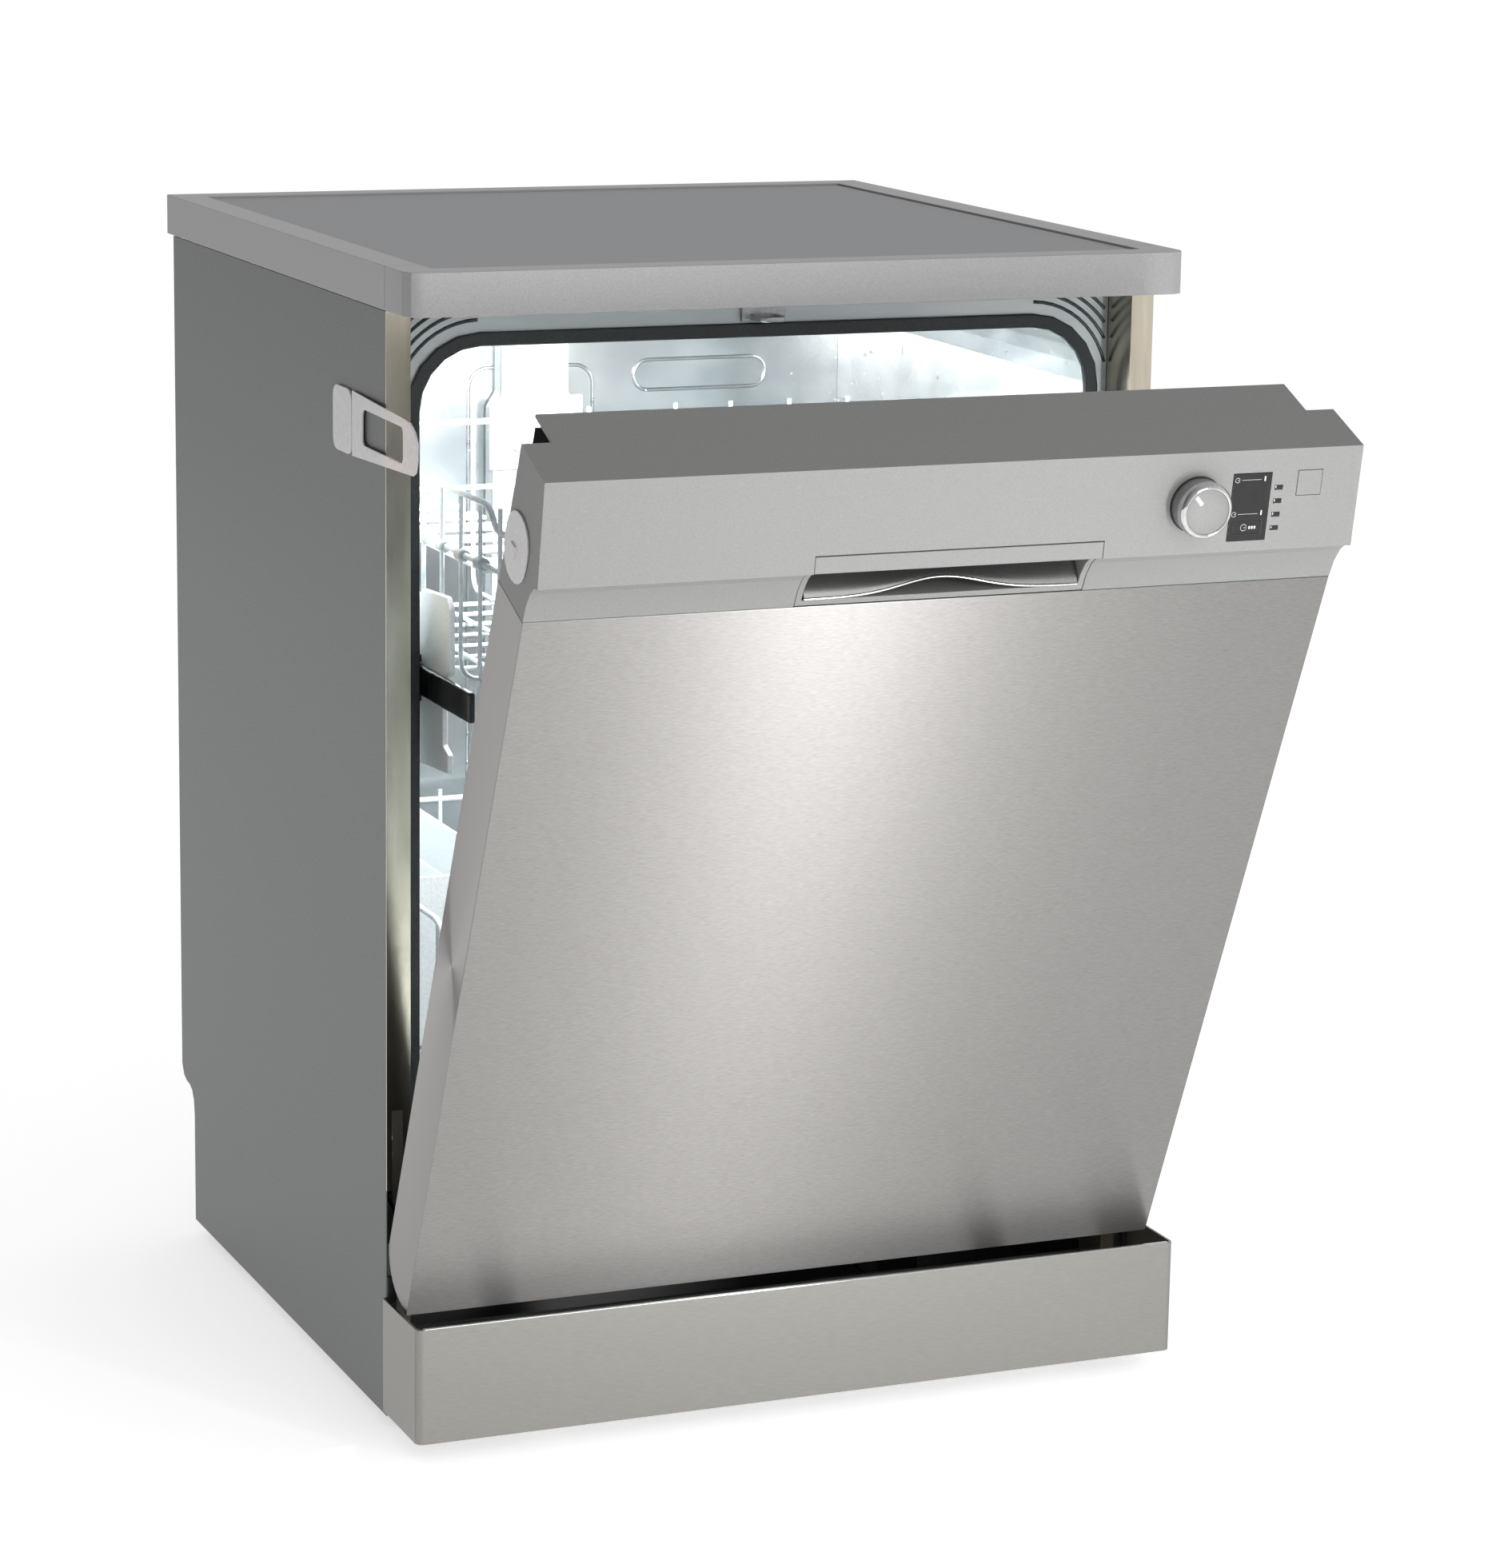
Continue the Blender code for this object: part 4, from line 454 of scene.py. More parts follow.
def wire(name, paths, radius, resolution=2):
    """Round bars along the given paths, made as one piece."""
    bpy.ops.object.select_all(action="DESELECT")
    bpy.ops.curve.primitive_bezier_curve_add()
    made = bpy.context.object
    made.name = name
    made.location = (0, 0, 0)
    bar = made.data
    bar.splines.clear()
    bar.dimensions = "3D"
    bar.bevel_depth = radius
    bar.bevel_resolution = resolution
    bar.use_fill_caps = True
    for path in paths:
        closed = (Vector(path[0]) - Vector(path[-1])).length < 1e-6
        points = path[:-1] if closed else path
        spline = bar.splines.new("POLY")
        spline.points.add(len(points) - 1)
        for point, place in zip(spline.points, points):
            point.co = (*place, 1)
        spline.use_cyclic_u = closed
    bpy.ops.object.convert(target="MESH")
    made = bpy.context.object
    edit(made)
    bpy.ops.mesh.remove_doubles(threshold=0.000001)
    done(made, 50)
    return made


def arc(centre, radius, start, end, steps, place):
    """Points round a centre, lifted into space by place(a, b)."""
    found = []
    for step in range(steps + 1):
        angle = math.radians(start + (end - start) * step / steps)
        found.append(place(centre[0] + radius * math.cos(angle), centre[1] + radius * math.sin(angle)))
    return found


ribs = []
for sign in (-1, 1):
    for grow in (0.0190, 0.0255, 0.0320, 0.0385, 0.0450):
        centre = (MOUTH_HALF - MOUTH_RADIUS, MOUTH_TOP - MOUTH_RADIUS)
        top = MOUTH_RADIUS + grow
        last = math.degrees(math.asin(min(1, (FLANGE_TOP - centre[1]) / top))) - RIB_END
        first = math.degrees(math.acos(min(1, (FLANGE_SIDE - centre[0]) / top))) + RIB_END
        ribs.append(
            arc(centre, top, first, last, 10, lambda a, b: (sign * a, FLANGE_FACE - 0.0001, b))
        )
flange_ribs = wire("tub_flange_ribs", ribs, 0.0013)
# The ribs are coloured a dark steel as painted shade for the hollows beside them, so they read as thin
# dark arcs.
painted_groove_shade = new_material("painted_groove_shade_stainless", "#4C5354", 0.45, 0.9)
grain(painted_groove_shade, "#454C4D", "#545B5C", 4)
fit(flange_ribs, "cabinet", painted_groove_shade, "tub_steel")

# Extruded rubber: nearly black, with a soft sheen along its rounded edge.
rubber_seal = new_material("black_epdm_rubber_seal", "#1F2426", 0.50)
grain(rubber_seal, "#1A1E20", "#262B2D", 1.5, bump=0.00003)
softened("door_gasket", 0.0014, rubber_seal, "cabinet", "rubber", 3)

# Pressed outlines on the back wall: a long oval, the frame round the duct, and a small round.
BACK_FACE = CABINET_Y + 0.500


def on_wall(a, b):
    """A point on the back wall's face."""
    return (a, BACK_FACE - 0.0002, b)


def long_round(low_a, low_b, high_a, high_b):
    """A closed outline with half-round ends."""
    radius = (high_b - low_b) / 2
    middle = low_b + radius
    return [
        *arc((high_a - radius, middle), radius, -90, 90, 8, on_wall),
        *arc((low_a + radius, middle), radius, 90, 270, 8, on_wall),
        on_wall(high_a - radius, low_b),
    ]


def frame_line(half_low, half_high, top, bottom, radius):
    """Up one side of the duct, across over it and down the other side."""
    return [
        on_wall(half_low, bottom),
        *arc((half_low + radius, top - radius), radius, 180, 90, 6, on_wall),
        *arc((half_high - radius, top - radius), radius, 90, 0, 6, on_wall),
        on_wall(half_high, bottom),
    ]


wall_lines = [
    long_round(0.0800, 0.6860, 0.1980, 0.7110),
    frame_line(-0.0640, 0.0440, 0.7090, 0.3000, 0.016),
    long_round(-0.1500, 0.6860, -0.1140, 0.7110),
    long_round(-0.2000, 0.3000, -0.1000, 0.3300),
    long_round(0.0800, 0.3000, 0.1980, 0.3300),
]
wall_pressing = wire("tub_back_pressings", wall_lines, 0.0016)
fit(wall_pressing, "cabinet", wet_stainless, "tub_steel")

side_lines = []
for sign in (-1, 1):
    for z in (0.347, 0.375, 0.655):
        side_lines.append([(sign * 0.2640, CABINET_Y + 0.06, z), (sign * 0.2640, CABINET_Y + 0.46, z)])
side_pressing = wire("tub_side_pressings", side_lines, 0.0016)
fit(side_pressing, "cabinet", wet_stainless, "tub_steel")

# ------------------------------------------------------------------ feed duct
# Moulded polypropylene, snapped to the back wall: a broad lower sleeve with a stepped rim, a slimmer
# upper channel, and the round-ended pin that the rack's pipe docks over.

# Unfilled polypropylene looks milky, with a waxy sheen.
milky_polypropylene = new_material("milky_polypropylene_duct", "#8A9193", 0.42)
grain(milky_polypropylene, "#848B8D", "#909799", 3)
softened("feed_duct", 0.0015, milky_polypropylene, "cabinet", "white_plastic", 2)
duct_face = BACK_FACE - 0.0203
sleeve = block(
    "duct_sleeve_lip",
    (-0.0530, duct_face - 0.0040, 0.628),
    (0.0270, duct_face - 0.0002, 0.6875),
    0.0018,
    3,
)
edit(sleeve)
bpy.ops.mesh.select_all(action="DESELECT")
bpy.ops.object.mode_set(mode="OBJECT")
for face in sleeve.data.polygons:
    face.select = face.normal.y < -0.9
bpy.ops.object.mode_set(mode="EDIT")
bpy.ops.mesh.inset(thickness=0.004, depth=0)
bpy.ops.mesh.extrude_region_move(TRANSFORM_OT_translate={"value": (0, 0.0012, 0)})
done(sleeve)
fit(sleeve, "cabinet", white_moulding, "white_plastic")


def round_bar(name, start, axis, profile, sides=24):
    """A turned piece: (radius, distance) rings drawn out one after another along an axis."""
    bpy.ops.object.select_all(action="DESELECT")
    facing = Vector(axis).to_track_quat("Z", "Y").to_euler()
    first_radius, first = profile[0]
    place = Vector(start) + Vector(axis) * first
    bpy.ops.mesh.primitive_circle_add(
        vertices=sides, radius=first_radius, fill_type="NGON", location=place, rotation=facing
    )
    made = bpy.context.object
    made.name = name
    bpy.ops.object.transform_apply(location=True, rotation=True, scale=True)
    edit(made)
    for (old, before), (new, after) in zip(profile, profile[1:]):
        step = Vector(axis) * (after - before)
        bpy.ops.mesh.extrude_region_move(TRANSFORM_OT_translate={"value": step})
        centre = Vector(start) + Vector(axis) * after
        share = new / old
        bpy.ops.transform.resize(value=(share, share, share), center_override=centre)
    done(made)
    return made


pin = round_bar(
    "duct_pin",
    (-0.0310, duct_face - 0.004, 0.6480),
    (0, -1, 0),
    [(0.0042, 0), (0.0042, 0.022), (0.0056, 0.024), (0.0060, 0.028), (0.0048, 0.0315), (0.002, 0.033)],
)
fit(pin, "cabinet", white_moulding, "white_plastic")
softened("striker_loop", 0.0006, zinc_plate, "cabinet", "zinc", 2)

# ------------------------------------------------------------------ filter, salt cap and spray arms
# Turned and moulded polypropylene. The lower arm spins on the sump's stub, the upper arm under the
# upper rack; each has a row of small water jets along its blades.

softened("filter_cylinder", 0.0006, grey_moulding, "filter_cylinder", "grey_plastic", 2)
softened("salt_cap", 0.0008, white_moulding, "salt_cap", "white_plastic", 2)
# The jets are a darker grey than the arms as painted shade, so each opening reads as a hole.
jet_shade_plastic = new_material("jet_painted_shade_grey", "#5B5E61", 0.5)
grain(jet_shade_plastic, "#525558", "#65686B", 1.0)
ARM_ANGLE = 35
JET_SHARES = (0.30, 0.52, 0.74, 0.96)
JET_STAGGER = 0.005
for arm, blade in (("lower_spray_arm", 0.212), ("upper_spray_arm", 0.200)):
    softened(arm, 0.0006, grey_moulding, arm, "grey_plastic", 2)
    low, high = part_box(arm)
    middle = ((low[0] + high[0]) / 2, (low[1] + high[1]) / 2)
    reach = blade - 0.018
    along = (math.cos(math.radians(ARM_ANGLE)), math.sin(math.radians(ARM_ANGLE)))
    across = (-along[1], along[0])
    jets = [(s * side, JET_STAGGER * (-1) ** k) for side in (-1, 1) for k, s in enumerate(JET_SHARES)]
    for index, (share, off) in enumerate(jets):
        x = middle[0] + along[0] * reach * share + across[0] * off
        y = middle[1] + along[1] * reach * share + across[1] * off
        jet = round_bar(
            f"{arm}_jet_{index}",
            (x, y, high[2] - 0.0018),
            (0, 0, 1),
            [(0.0052, 0), (0.0050, 0.0016), (0.0034, 0.0022), (0.0026, 0.0012)],
            14,
        )
        fit(jet, arm, jet_shade_plastic, "grey_plastic")

# ------------------------------------------------------------------ racks
# Each rack is welded from round steel wire and dipped in pale grey nylon. Cross wires and length
# wires are bent up at their ends into the sides and welded to a rim, which dips at the front corners.

UPPER_Y = CABINET_Y - 0.1353

# Dipped nylon is smooth and slightly glossy, and flows into soft joints at the welds.
nylon_wire = new_material("nylon_coated_steel_wire", "#C3CDD1", 0.30, 0.0, Coat_Weight=0.3)
grain(nylon_wire, "#B9C4C8", "#CDD6DA", 8, bump=0.00003)


def bent(points, radius, steps=4):
    """A path with round bends in place of its corners."""
    found = [tuple(points[0])]
    for before, corner, after in zip(points, points[1:], points[2:]):
        before, corner, after = Vector(before), Vector(corner), Vector(after)
        back, on = before - corner, after - corner
        reach = min(radius, back.length * 0.45, on.length * 0.45)
        start, end = corner + back.normalized() * reach, corner + on.normalized() * reach
        for step in range(steps + 1):
            share = step / steps
            found.append(
                tuple(start * (1 - share) ** 2 + corner * 2 * share * (1 - share) + end * share**2)
            )
    return found + [tuple(points[-1])]


def rack_wires(
    name, body, origin_y, half, front, back, floor, rim, dip, cross_ys, length_xs, proud, replaced
):
    """Rim, cross wires and length wires of one rack."""
    inset = 0.0022
    y0, y1 = origin_y + front, origin_y + back
    rim_path = [
        (-half, y0 + 0.080, rim),
        (-half, y0 + 0.018, rim),
        (-half, y0, rim - dip),
        (half, y0, rim - dip),
        (half, y0 + 0.018, rim),
        (half, y1, rim),
        (-half, y1, rim),
        (-half, y0 + 0.080, rim),
    ]
    rim_path = bent(rim_path, 0.014)
    rims = wire(name + "_rim", [rim_path], 0.0024)
    fit(rims, body, nylon_wire, "coated_wire", *replaced)
    paths = []
    for y in cross_ys:
        y += origin_y
        low = floor + 0.0022
        paths.append(
            bent(
                [
                    (-half + inset, y, rim),
                    (-half + inset, y, low),
                    (half - inset, y, low),
                    (half - inset, y, rim),
                ],
                0.016,
            )
        )
    for x in length_xs:
        low = floor + 0.0058
        paths.append(
            bent(
                [
                    (x, y0 + inset, rim - dip),
                    (x, y0 + inset, low),
                    (x, y1 - inset, low),
                    (x, y1 - inset, rim + proud),
                ],
                0.016,
            )
        )
    wires = wire(name + "_wires", paths, 0.0018)
    fit(wires, body, nylon_wire, "coated_wire")


upper_cross = [0.0953 + 0.0410 * k for k in range(-1, 9)]
upper_length = (-0.2148, -0.1668, -0.1188, -0.0708, -0.0230, 0.0502, 0.0973, 0.1480, 0.1990)
rack_wires(
    "upper_rack", "upper_rack", UPPER_Y, 0.2455, 0.0520, 0.4680, 0.5522, 0.6900, 0.020,
    upper_cross, upper_length, 0.0085, ["upper_rack"],
)
lower_cross = [0.085 + 0.0500 * k for k in range(8)]
lower_length = (-0.2030, -0.1500, -0.1000, -0.0500, 0.0000, 0.0500, 0.1000, 0.1500, 0.2030)
rack_wires(
    "lower_rack", "cabinet", CABINET_Y, 0.2335, 0.0570, 0.4660, 0.2352, 0.3600, 0.020,
    lower_cross, lower_length, 0.0085, ["lower_rack"],
)

# Side rods with their clips, and the plate tines, which are bent from the same wire.
side_rods = []
for sign in (-1, 1):
    x = sign * 0.2425
    side_rods.append([(x, UPPER_Y + 0.056, 0.6450), (x, UPPER_Y + 0.455, 0.6450)])
side_rods.append([(-0.240, UPPER_Y + 0.4645, 0.6390), (0.240, UPPER_Y + 0.4645, 0.6390)])
rods = wire("upper_rack_side_rods", side_rods, 0.0022)
fit(rods, "upper_rack", nylon_wire, "coated_wire")
# Acetal is harder and a little glossier than the grey mouldings.
grey_clip = new_material("grey_acetal_clip", "#A9B2B6", 0.38)
grain(grey_clip, "#A1AAAE", "#B1BABD", 2)
for sign, side in ((-1, "left"), (1, "right")):
    for index, y in enumerate(upper_cross[1:9]):
        clip = round_bar(
            f"rod_clip_{side}_{index}",
            (sign * 0.2425, UPPER_Y + y - 0.007, 0.6450),
            (0, 1, 0),
            [(0.0038, 0), (0.0048, 0.0012), (0.0048, 0.0128), (0.0038, 0.0140)],
            14,
        )
        fit(clip, "upper_rack", grey_clip, "grey_plastic")

tines = []
for x in (-0.100, -0.020, 0.070, 0.150):
    for k in range(9):
        y = UPPER_Y + 0.100 + 0.036 * k
        tines.append(bent([(x - 0.008, y, 0.556), (x, y + 0.004, 0.612), (x + 0.008, y, 0.556)], 0.006))
upper_tines = wire("upper_rack_tines", tines, 0.0015, 1)
fit(upper_tines, "upper_rack", nylon_wire, "coated_wire")
tines = []
for x in (-0.085, 0.020, 0.110, 0.190):
    for k in range(10):
        y = CABINET_Y + 0.085 + 0.036 * k
        tines.append(bent([(x - 0.010, y, 0.240), (x, y + 0.004, 0.322), (x + 0.010, y, 0.240)], 0.006))
lower_tines = wire("lower_rack_tines", tines, 0.0016, 1)
fit(lower_tines, "cabinet", nylon_wire, "coated_wire")

# The upper rack's feed pipe and the hub that its spray arm turns on.
feed_pipe = block(
    "upper_feed_pipe",
    (-0.0130, UPPER_Y + 0.262, 0.5375),
    (0.0130, UPPER_Y + 0.473, 0.5505),
    0.004,
    4,
)
fit(feed_pipe, "upper_rack", grey_moulding, "grey_plastic")
hub = round_bar(
    "upper_arm_hub",
    (0, UPPER_Y + 0.262, 0.5005),
    (0, 0, 1),
    [
        (0.0070, 0),
        (0.0084, 0.0015),
        (0.0084, 0.0190),
        (0.0190, 0.0200),
        (0.0198, 0.0215),
        (0.0198, 0.0500),
        (0.0180, 0.0515),
    ],
    28,
)
fit(hub, "upper_rack", grey_moulding, "grey_plastic")

# The lower rack's wheels: four moulded wheels with a raised rim, and their axle brackets.
wheel_profile = [
    (0.0165, 0),
    (0.0178, 0.0012),
    (0.0178, 0.0072),
    (0.0165, 0.0084),
    (0.0130, 0.0084),
    (0.0122, 0.0060),
    (0.0050, 0.0060),
    (0.0044, 0.0084),
    (0.0030, 0.0088),
]
for sign, side in ((-1, "left"), (1, "right")):
    for index, y in ((1, 0.085 + 0.0706), (4, 0.085 + 0.2824)):
        wheel = round_bar(
            f"lower_wheel_{side}_{index}",
            (sign * 0.2390, CABINET_Y + y, 0.2238),
            (sign, 0, 0),
            wheel_profile,
            28,
        )
        fit(wheel, "cabinet", grey_moulding, "grey_plastic")
        low_x, high_x = sorted((sign * 0.2310, sign * 0.2392))
        bracket = block(
            f"wheel_bracket_{side}_{index}",
            (low_x, CABINET_Y + y - 0.0050, 0.2200),
            (high_x, CABINET_Y + y + 0.0050, 0.2470),
            0.0015,
        )
        fit(bracket, "cabinet", grey_moulding, "grey_plastic")

# ------------------------------------------------------------------ rails, hangers and cup shelves
# Black moulded rails slide in channels on the tub's walls. White moulded plates hang the upper rack
# on them, and comb-shaped cup shelves fold up against the rack's sides.

# The rails' nylon is filled for strength and comes out of its mould glossy and deep black.
gloss_black = new_material("gloss_black_moulded_nylon", "#141516", 0.22)
grain(gloss_black, "#101112", "#1A1B1C", 2)
for side in ("left", "right"):
    softened("rack_rail_" + side, 0.0006, gloss_black, "rails", "black_plastic", 2)
    softened("rail_guide_" + side, 0.0006, black_moulding, "cabinet", "black_plastic", 2)
    softened("rack_adjuster_" + side, 0.0012, white_moulding, "upper_rack", "white_plastic", 3)
    softened("cup_shelf_" + side, 0.0009, white_moulding, "cup_shelf_" + side, "white_plastic", 3)

softened("cutlery_basket", 0.0006, white_moulding, "cabinet", "white_plastic", 2)

# ------------------------------------------------------------------ door
# A brushed stainless outer panel folded round the sides and bottom, over a pressed stainless liner.
# The brushing runs across the door, so it draws every reflection out into an upright band.

# The marks are drawn at 0.38 mm, coarser than the real grit's, so that they show.
brushed_stainless = new_material("cross_brushed_stainless", "#949290", 0.36, 1.0, Anisotropic=0.95)
streaks(brushed_stainless, "#8B8987", "#9D9B99", 0.38, (0.07, 1, 1), 0.33, 0.39, 0.000008)
brush_tree = brushed_stainless.node_tree
brush_line = add_node(brush_tree, "ShaderNodeTangent", direction_type="RADIAL", axis="X")
brush_tree.links.new(
    brush_line.outputs["Tangent"], brush_tree.nodes["Principled BSDF"].inputs["Tangent"]
)
softened("door_outer_panel", 0.0007, brushed_stainless, "door", "steel_door", 3)
nodes["door_liner"].data.materials[0] = wet_stainless
softened("door_latch", 0.0008, black_moulding, "door", "black_plastic", 2)
for side in ("left", "right"):
    softened("hinge_arm_" + side, 0.0004, zinc_plate, "door", "zinc", 2)
softened("detergent_dispenser", 0.0008, grey_moulding, "door", "grey_plastic", 2)
softened("dispenser_lid", 0.0008, grey_moulding, "dispenser_lid", "grey_plastic", 3)
softened("rinse_cap", 0.0008, grey_moulding, "rinse_cap", "grey_plastic", 2)

# ------------------------------------------------------------------ control panel
# The fascia is moulded ABS with a fine metallic silver lacquer. Behind it sits a small circuit
# board whose light guides fill four slots.

# The lacquer scatters light evenly, with a fine glitter that is drawn coarser than it is.
metallic_lacquer = new_material("metallic_silver_lacquered_abs", "#8F908E", 0.58, 0.25)
grain(metallic_lacquer, "#8B8C8A", "#979896", 0.7, bump=0.00001)
softened("control_panel", 0.0012, metallic_lacquer, "door", "fascia", 3, 14)
softened("handle_recess", 0.0009, metallic_lacquer, "door", "fascia", 3)
softened("handle_flap", 0.0005, metallic_lacquer, "handle_flap", "fascia", 3)
softened("power_button", 0.0004, metallic_lacquer, "power_button", "fascia", 2)
# Clear acrylic backed with black: deep, with clean reflections.
piano_black = new_material("piano_black_acrylic", "#1D1D1E", 0.12)
grain(piano_black, "#1A1A1B", "#202021", 5)
softened("display_window", 0.0003, piano_black, "door", "window", 2)
softened("select_button", 0.0003, piano_black, "select_button", "window", 2)
# Solder mask over bare board: a satin green with slightly uneven cover.
circuit_board = new_material("green_circuit_board", "#1C5A33", 0.5)
grain(circuit_board, "#184E2C", "#226A3C", 2)
nodes["indicator_board"].data.materials[0] = circuit_board
# Plated plastic: a clear mirror with the faintest change of colour across it.
chrome = new_material("chromed_abs", "#D7D8D8", 0.10, 1.0)
grain(chrome, "#D0D1D1", "#DEDFDF", 4)

# Everything on the panel's face is drawn upright at the face's foot, leaned back with the face, and
# then swung out with the door.
DOOR_PIVOT = (0, CABINET_Y - 0.0345, 0.1389)
FACE_FOOT = (0, CABINET_Y - 0.0701, 0.7375)
DOOR_AJAR, FACE_LEAN = 23.5, -13.8


def turn(obj, degrees, centre):
    """Turns a piece about the X axis through centre."""
    edit(obj)
    bpy.ops.transform.rotate(value=-math.radians(degrees), orient_axis="X", center_override=centre)
    bpy.ops.object.mode_set(mode="OBJECT")
    obj.select_set(False)


def hang(obj):
    """Swings a piece drawn on the shut door out to where the door rests."""
    turn(obj, DOOR_AJAR, DOOR_PIVOT)
    return obj


def on_face(obj):
    """Leans a piece back with the panel's face and swings it out with the door."""
    turn(obj, FACE_LEAN, FACE_FOOT)
    return hang(obj)


def face_block(name, left, low, right, high, back, front, radius=0.0, segments=2):
    """A block on the face: left to right, up the face, and out from it."""
    made = block(
        name,
        (left, FACE_FOOT[1] - front, FACE_FOOT[2] + low),
        (right, FACE_FOOT[1] - back, FACE_FOOT[2] + high),
        radius,
        segments,
    )
    return on_face(made)


def face_ring(name, x, t, profile):
    """A turned piece standing on the face: x along it and t up it."""
    made = round_bar(name, (x, FACE_FOOT[1], FACE_FOOT[2] + t), (0, -1, 0), profile, 48)
    return on_face(made)


# The knob: a satin skirt, a chromed bevel round a lacquered face, and a pale index mark.
KNOB_X, KNOB_T = 0.1735, 0.0355
INDEX_ANGLE = -42
# Satin plating blurs what it mirrors, so the skirt looks softer than its bevel.
satin_chrome = new_material("satin_chromed_abs", "#A9AAAA", 0.30, 1.0)
grain(satin_chrome, "#A2A3A3", "#B1B2B2", 3)
softened("program_knob", 0.0004, satin_chrome, "program_knob", "chrome_plastic", 2)
bevel_ring = face_ring(
    "knob_chrome_bevel",
    KNOB_X,
    KNOB_T,
    [
        (0.0194, 0.0108),
        (0.0199, 0.0114),
        (0.0200, 0.0132),
        (0.0194, 0.0152),
        (0.0184, 0.0167),
        (0.0170, 0.0175),
        (0.0163, 0.0172),
        (0.0162, 0.0164),
    ],
)
fit(bevel_ring, "program_knob", chrome, "chrome_plastic")
knob_face = face_ring(
    "knob_face",
    KNOB_X,
    KNOB_T,
    [(0.0161, 0.0160), (0.0161, 0.0167), (0.0156, 0.0170), (0.0060, 0.0170)],
)
fit(knob_face, "program_knob", metallic_lacquer, "fascia")
mark = block(
    "knob_index",
    (KNOB_X - 0.0014, FACE_FOOT[1] - 0.0174, FACE_FOOT[2] + KNOB_T + 0.0072),
    (KNOB_X + 0.0014, FACE_FOOT[1] - 0.0169, FACE_FOOT[2] + KNOB_T + 0.0150),
    0.0002,
)
edit(mark)
bpy.ops.transform.rotate(
    value=-math.radians(INDEX_ANGLE),
    orient_axis="Y",
    center_override=(KNOB_X, FACE_FOOT[1], FACE_FOOT[2] + KNOB_T),
)
done(mark)
on_face(mark)
# Screen-printed ink: flat white.
white_print = new_material("white_printed_ink", "#EDEDEC", 0.5)
grain(white_print, "#E8E8E7", "#F2F2F1", 1)
fit(mark, "program_knob", white_print, "white_plastic")
# A dark matt ring round the knob's foot is painted shadow for the gap there, so the knob stands clear
# of the face.
shadow_gap = new_material("knob_gap_painted_shadow", "#17181A", 0.6)
grain(shadow_gap, "#131415", "#1C1D1F", 1)
shadow_ring = face_ring(
    "knob_painted_shadow_ring", KNOB_X, KNOB_T, [(0.0200, 0.00005), (0.0200, 0.0005), (0.0196, 0.0007)]
)
fit(shadow_ring, "door", shadow_gap, "black_plastic")

# Printed on the display glass: two clock marks with leader lines and small bars, and a framed
# key with a plain clock mark.
GLASS_OUT = 0.00035
PRINT_BACK, PRINT_FRONT = GLASS_OUT - 0.0002, GLASS_OUT + 0.0001


def clock(name, x, t, size, body):
    """A round clock mark with one hand."""
    y, z = FACE_FOOT[1] - GLASS_OUT, FACE_FOOT[2] + t
    points = [
        (x + size * math.cos(math.radians(a)), y, z + size * math.sin(math.radians(a)))
        for a in range(20, 341, 20)
    ]
    made = wire(name, [points, [(x, y, z), (x + size, y, z)]], 0.00016, 1)
    on_face(made)
    fit(made, body, white_print, "window")


for row, t in enumerate((0.0512, 0.0268)):
    clock(f"display_clock_{row}", 0.2031, t, 0.0017, "door")
    line = face_block(
        f"display_line_{row}", 0.2062, t - 0.0001, 0.2212, t + 0.0001, PRINT_BACK, PRINT_FRONT
    )
    fit(line, "door", white_print, "window")
    bar = face_block(
        f"display_bar_{row}", 0.2236, t - 0.0012, 0.2246, t + 0.0022, PRINT_BACK, PRINT_FRONT
    )
    fit(bar, "door", white_print, "window")
clock("select_clock", 0.2118, 0.0171, 0.0023, "select_button")
for index, x in enumerate((0.2157, 0.2177, 0.2197)):
    dot = face_block(
        f"select_dash_{index}", x, 0.0160, x + 0.0012, 0.0180, PRINT_BACK, PRINT_FRONT
    )
    fit(dot, "select_button", white_print, "window")
key_left, key_right, key_low, key_high = 0.2037, 0.2251, 0.0119, 0.0224
key_frame = [
    (x, FACE_FOOT[1] - 0.0001, FACE_FOOT[2] + t)
    for x, t in (
        (key_left, key_low),
        (key_right, key_low),
        (key_right, key_high),
        (key_left, key_high),
        (key_left, key_low),
    )
]
frame_bar = wire("select_frame", [key_frame], 0.00028, 1)
on_face(frame_bar)
# The key's outline is printed dark, so it only just stands off the black glass.
frame_print = new_material("dark_grey_printed_line", "#4A4A4B", 0.4)
grain(frame_print, "#444445", "#505051", 1)
fit(frame_bar, "door", frame_print, "window")

# Smoked lenses in the four lamp slots.
LAMP_X, LAMP_T, LAMP_PITCH = 0.2357, 0.0158, 0.00967
LENS_HALF_WIDTH, LENS_HALF_HEIGHT = 0.0029, 0.0014
for index in range(4):
    t = LAMP_T + LAMP_PITCH * index
    slot_lens = face_block(
        f"lamp_lens_{index}",
        LAMP_X - LENS_HALF_WIDTH,
        t - LENS_HALF_HEIGHT,
        LAMP_X + LENS_HALF_WIDTH,
        t + LENS_HALF_HEIGHT,
        -0.0004,
        0.0001,
        0.0002,
    )
    fit(slot_lens, "door", piano_black, "window")

# The finger cup: a thin scoop under the flap, whose lower lip rises and draws back in the middle.
# Its hollow is double-curved, which no one operator makes, so its points are placed by a formula.
scoop_low, scoop_high = 0.7090, 0.7352
scoop_left, scoop_right = -0.1015, 0.1003
scoop_front = CABINET_Y - 0.0560
lip_rise, lip_draw = 0.0085, 0.0060


def lip_swell(across):
    """How far the lip has risen at this share of its length, from 0 to 1 in the middle."""
    return math.exp(-(((across - 0.50) / 0.20) ** 2))


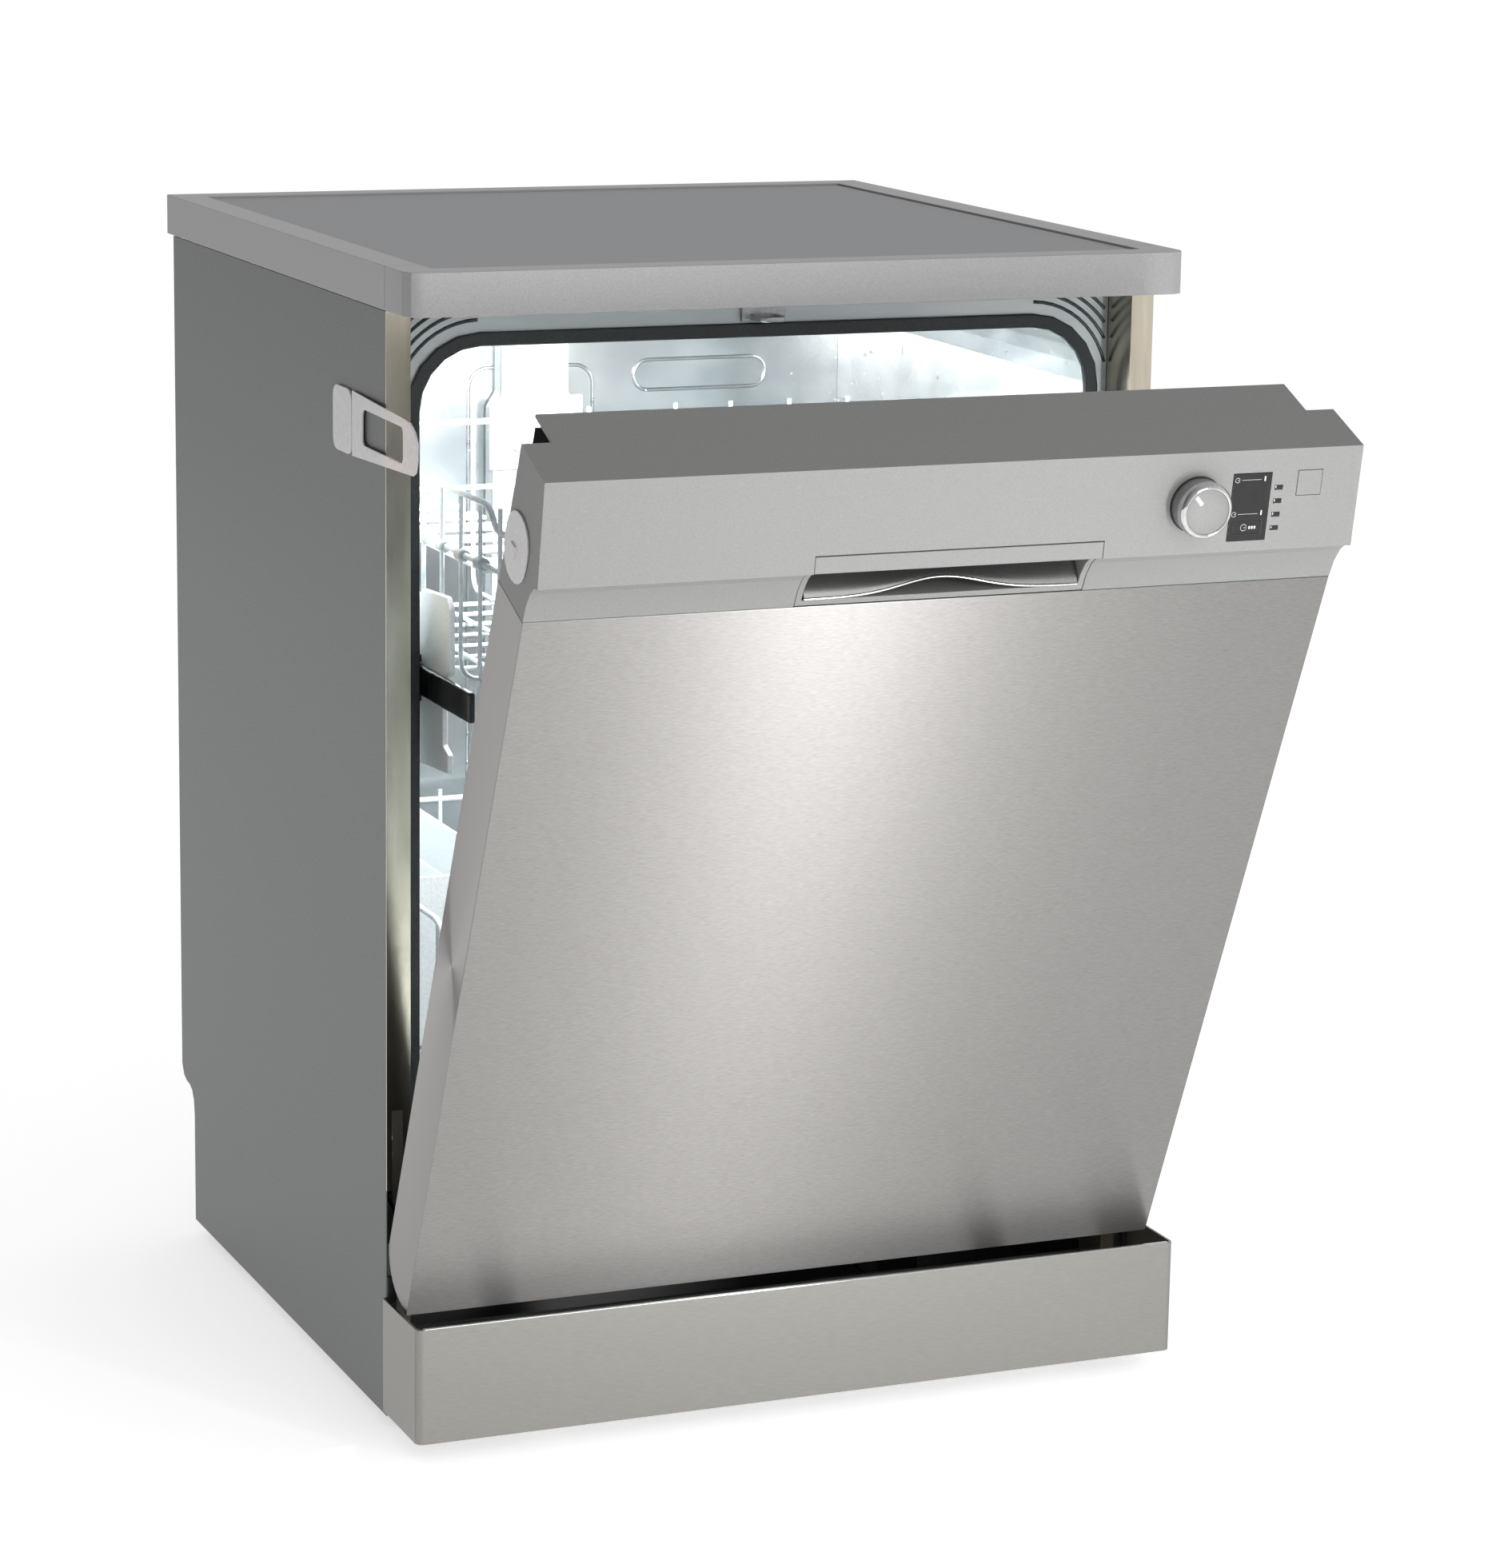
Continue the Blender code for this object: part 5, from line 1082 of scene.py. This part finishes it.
bpy.ops.object.select_all(action="DESELECT")
bpy.ops.mesh.primitive_grid_add(x_subdivisions=48, y_subdivisions=12, size=1, location=(0, 0, 0))
scoop = bpy.context.object
scoop.name = "handle_finger_scoop"
for vertex in scoop.data.vertices:
    across, up = vertex.co.x + 0.5, vertex.co.y + 0.5
    low = scoop_low + lip_rise * lip_swell(across)
    back = lip_draw * lip_swell(across)
    rise = up**1.15
    vertex.co.x = scoop_left + (scoop_right - scoop_left) * across
    vertex.co.z = low + (scoop_high - low) * rise
    vertex.co.y = scoop_front + back + 0.0220 * math.sin(rise * math.pi / 2) ** 1.3
wall = scoop.modifiers.new("wall", "SOLIDIFY")
wall.thickness = 0.0012
wall.offset = 0
bpy.context.view_layer.objects.active = scoop
scoop.select_set(True)
bpy.ops.object.modifier_apply(modifier=wall.name)
edit(scoop)
done(scoop, 60)
hang(scoop)
# A glossier coat than the panel's, so the hollow shows as soft light and dark bands.
scoop_lacquer = new_material("satin_lacquered_finger_scoop", "#8B8B8A", 0.28, 0.85)
grain(scoop_lacquer, "#848483", "#929291", 0.8)
fit(scoop, "door", scoop_lacquer, "fascia")
lip = []
for step in range(41):
    across = step / 40
    lip.append(
        (
            scoop_left + (scoop_right - scoop_left) * across,
            scoop_front - 0.0002 + lip_draw * lip_swell(across),
            scoop_low + lip_rise * lip_swell(across),
        )
    )
# The lip bead takes the same pale steel, as a painted highlight along the scoop's lip.
lip_bead = wire("handle_scoop_lip", [lip], 0.0010)
hang(lip_bead)
fit(lip_bead, "door", highlight_edge, "fascia")

# ------------------------------------------------------------------ child lock
# Pads and strap are moulded in a soft pale polypropylene and stuck on with adhesive foam.

# Soft polypropylene lets a little light into its surface, so its edges look warm and rounded.
pale_moulding = new_material("pale_soft_polypropylene", "#DCD5D5", 0.32, 0.0, Subsurface_Weight=0.1)
grain(pale_moulding, "#D6CFCF", "#E2DBDB", 3)
for node, body in (
    ("child_lock_base", "cabinet"),
    ("child_lock_strap", "child_lock_strap"),
    ("child_lock_catch", "door"),
):
    softened(node, 0.0005, pale_moulding, body, "lock", 3)
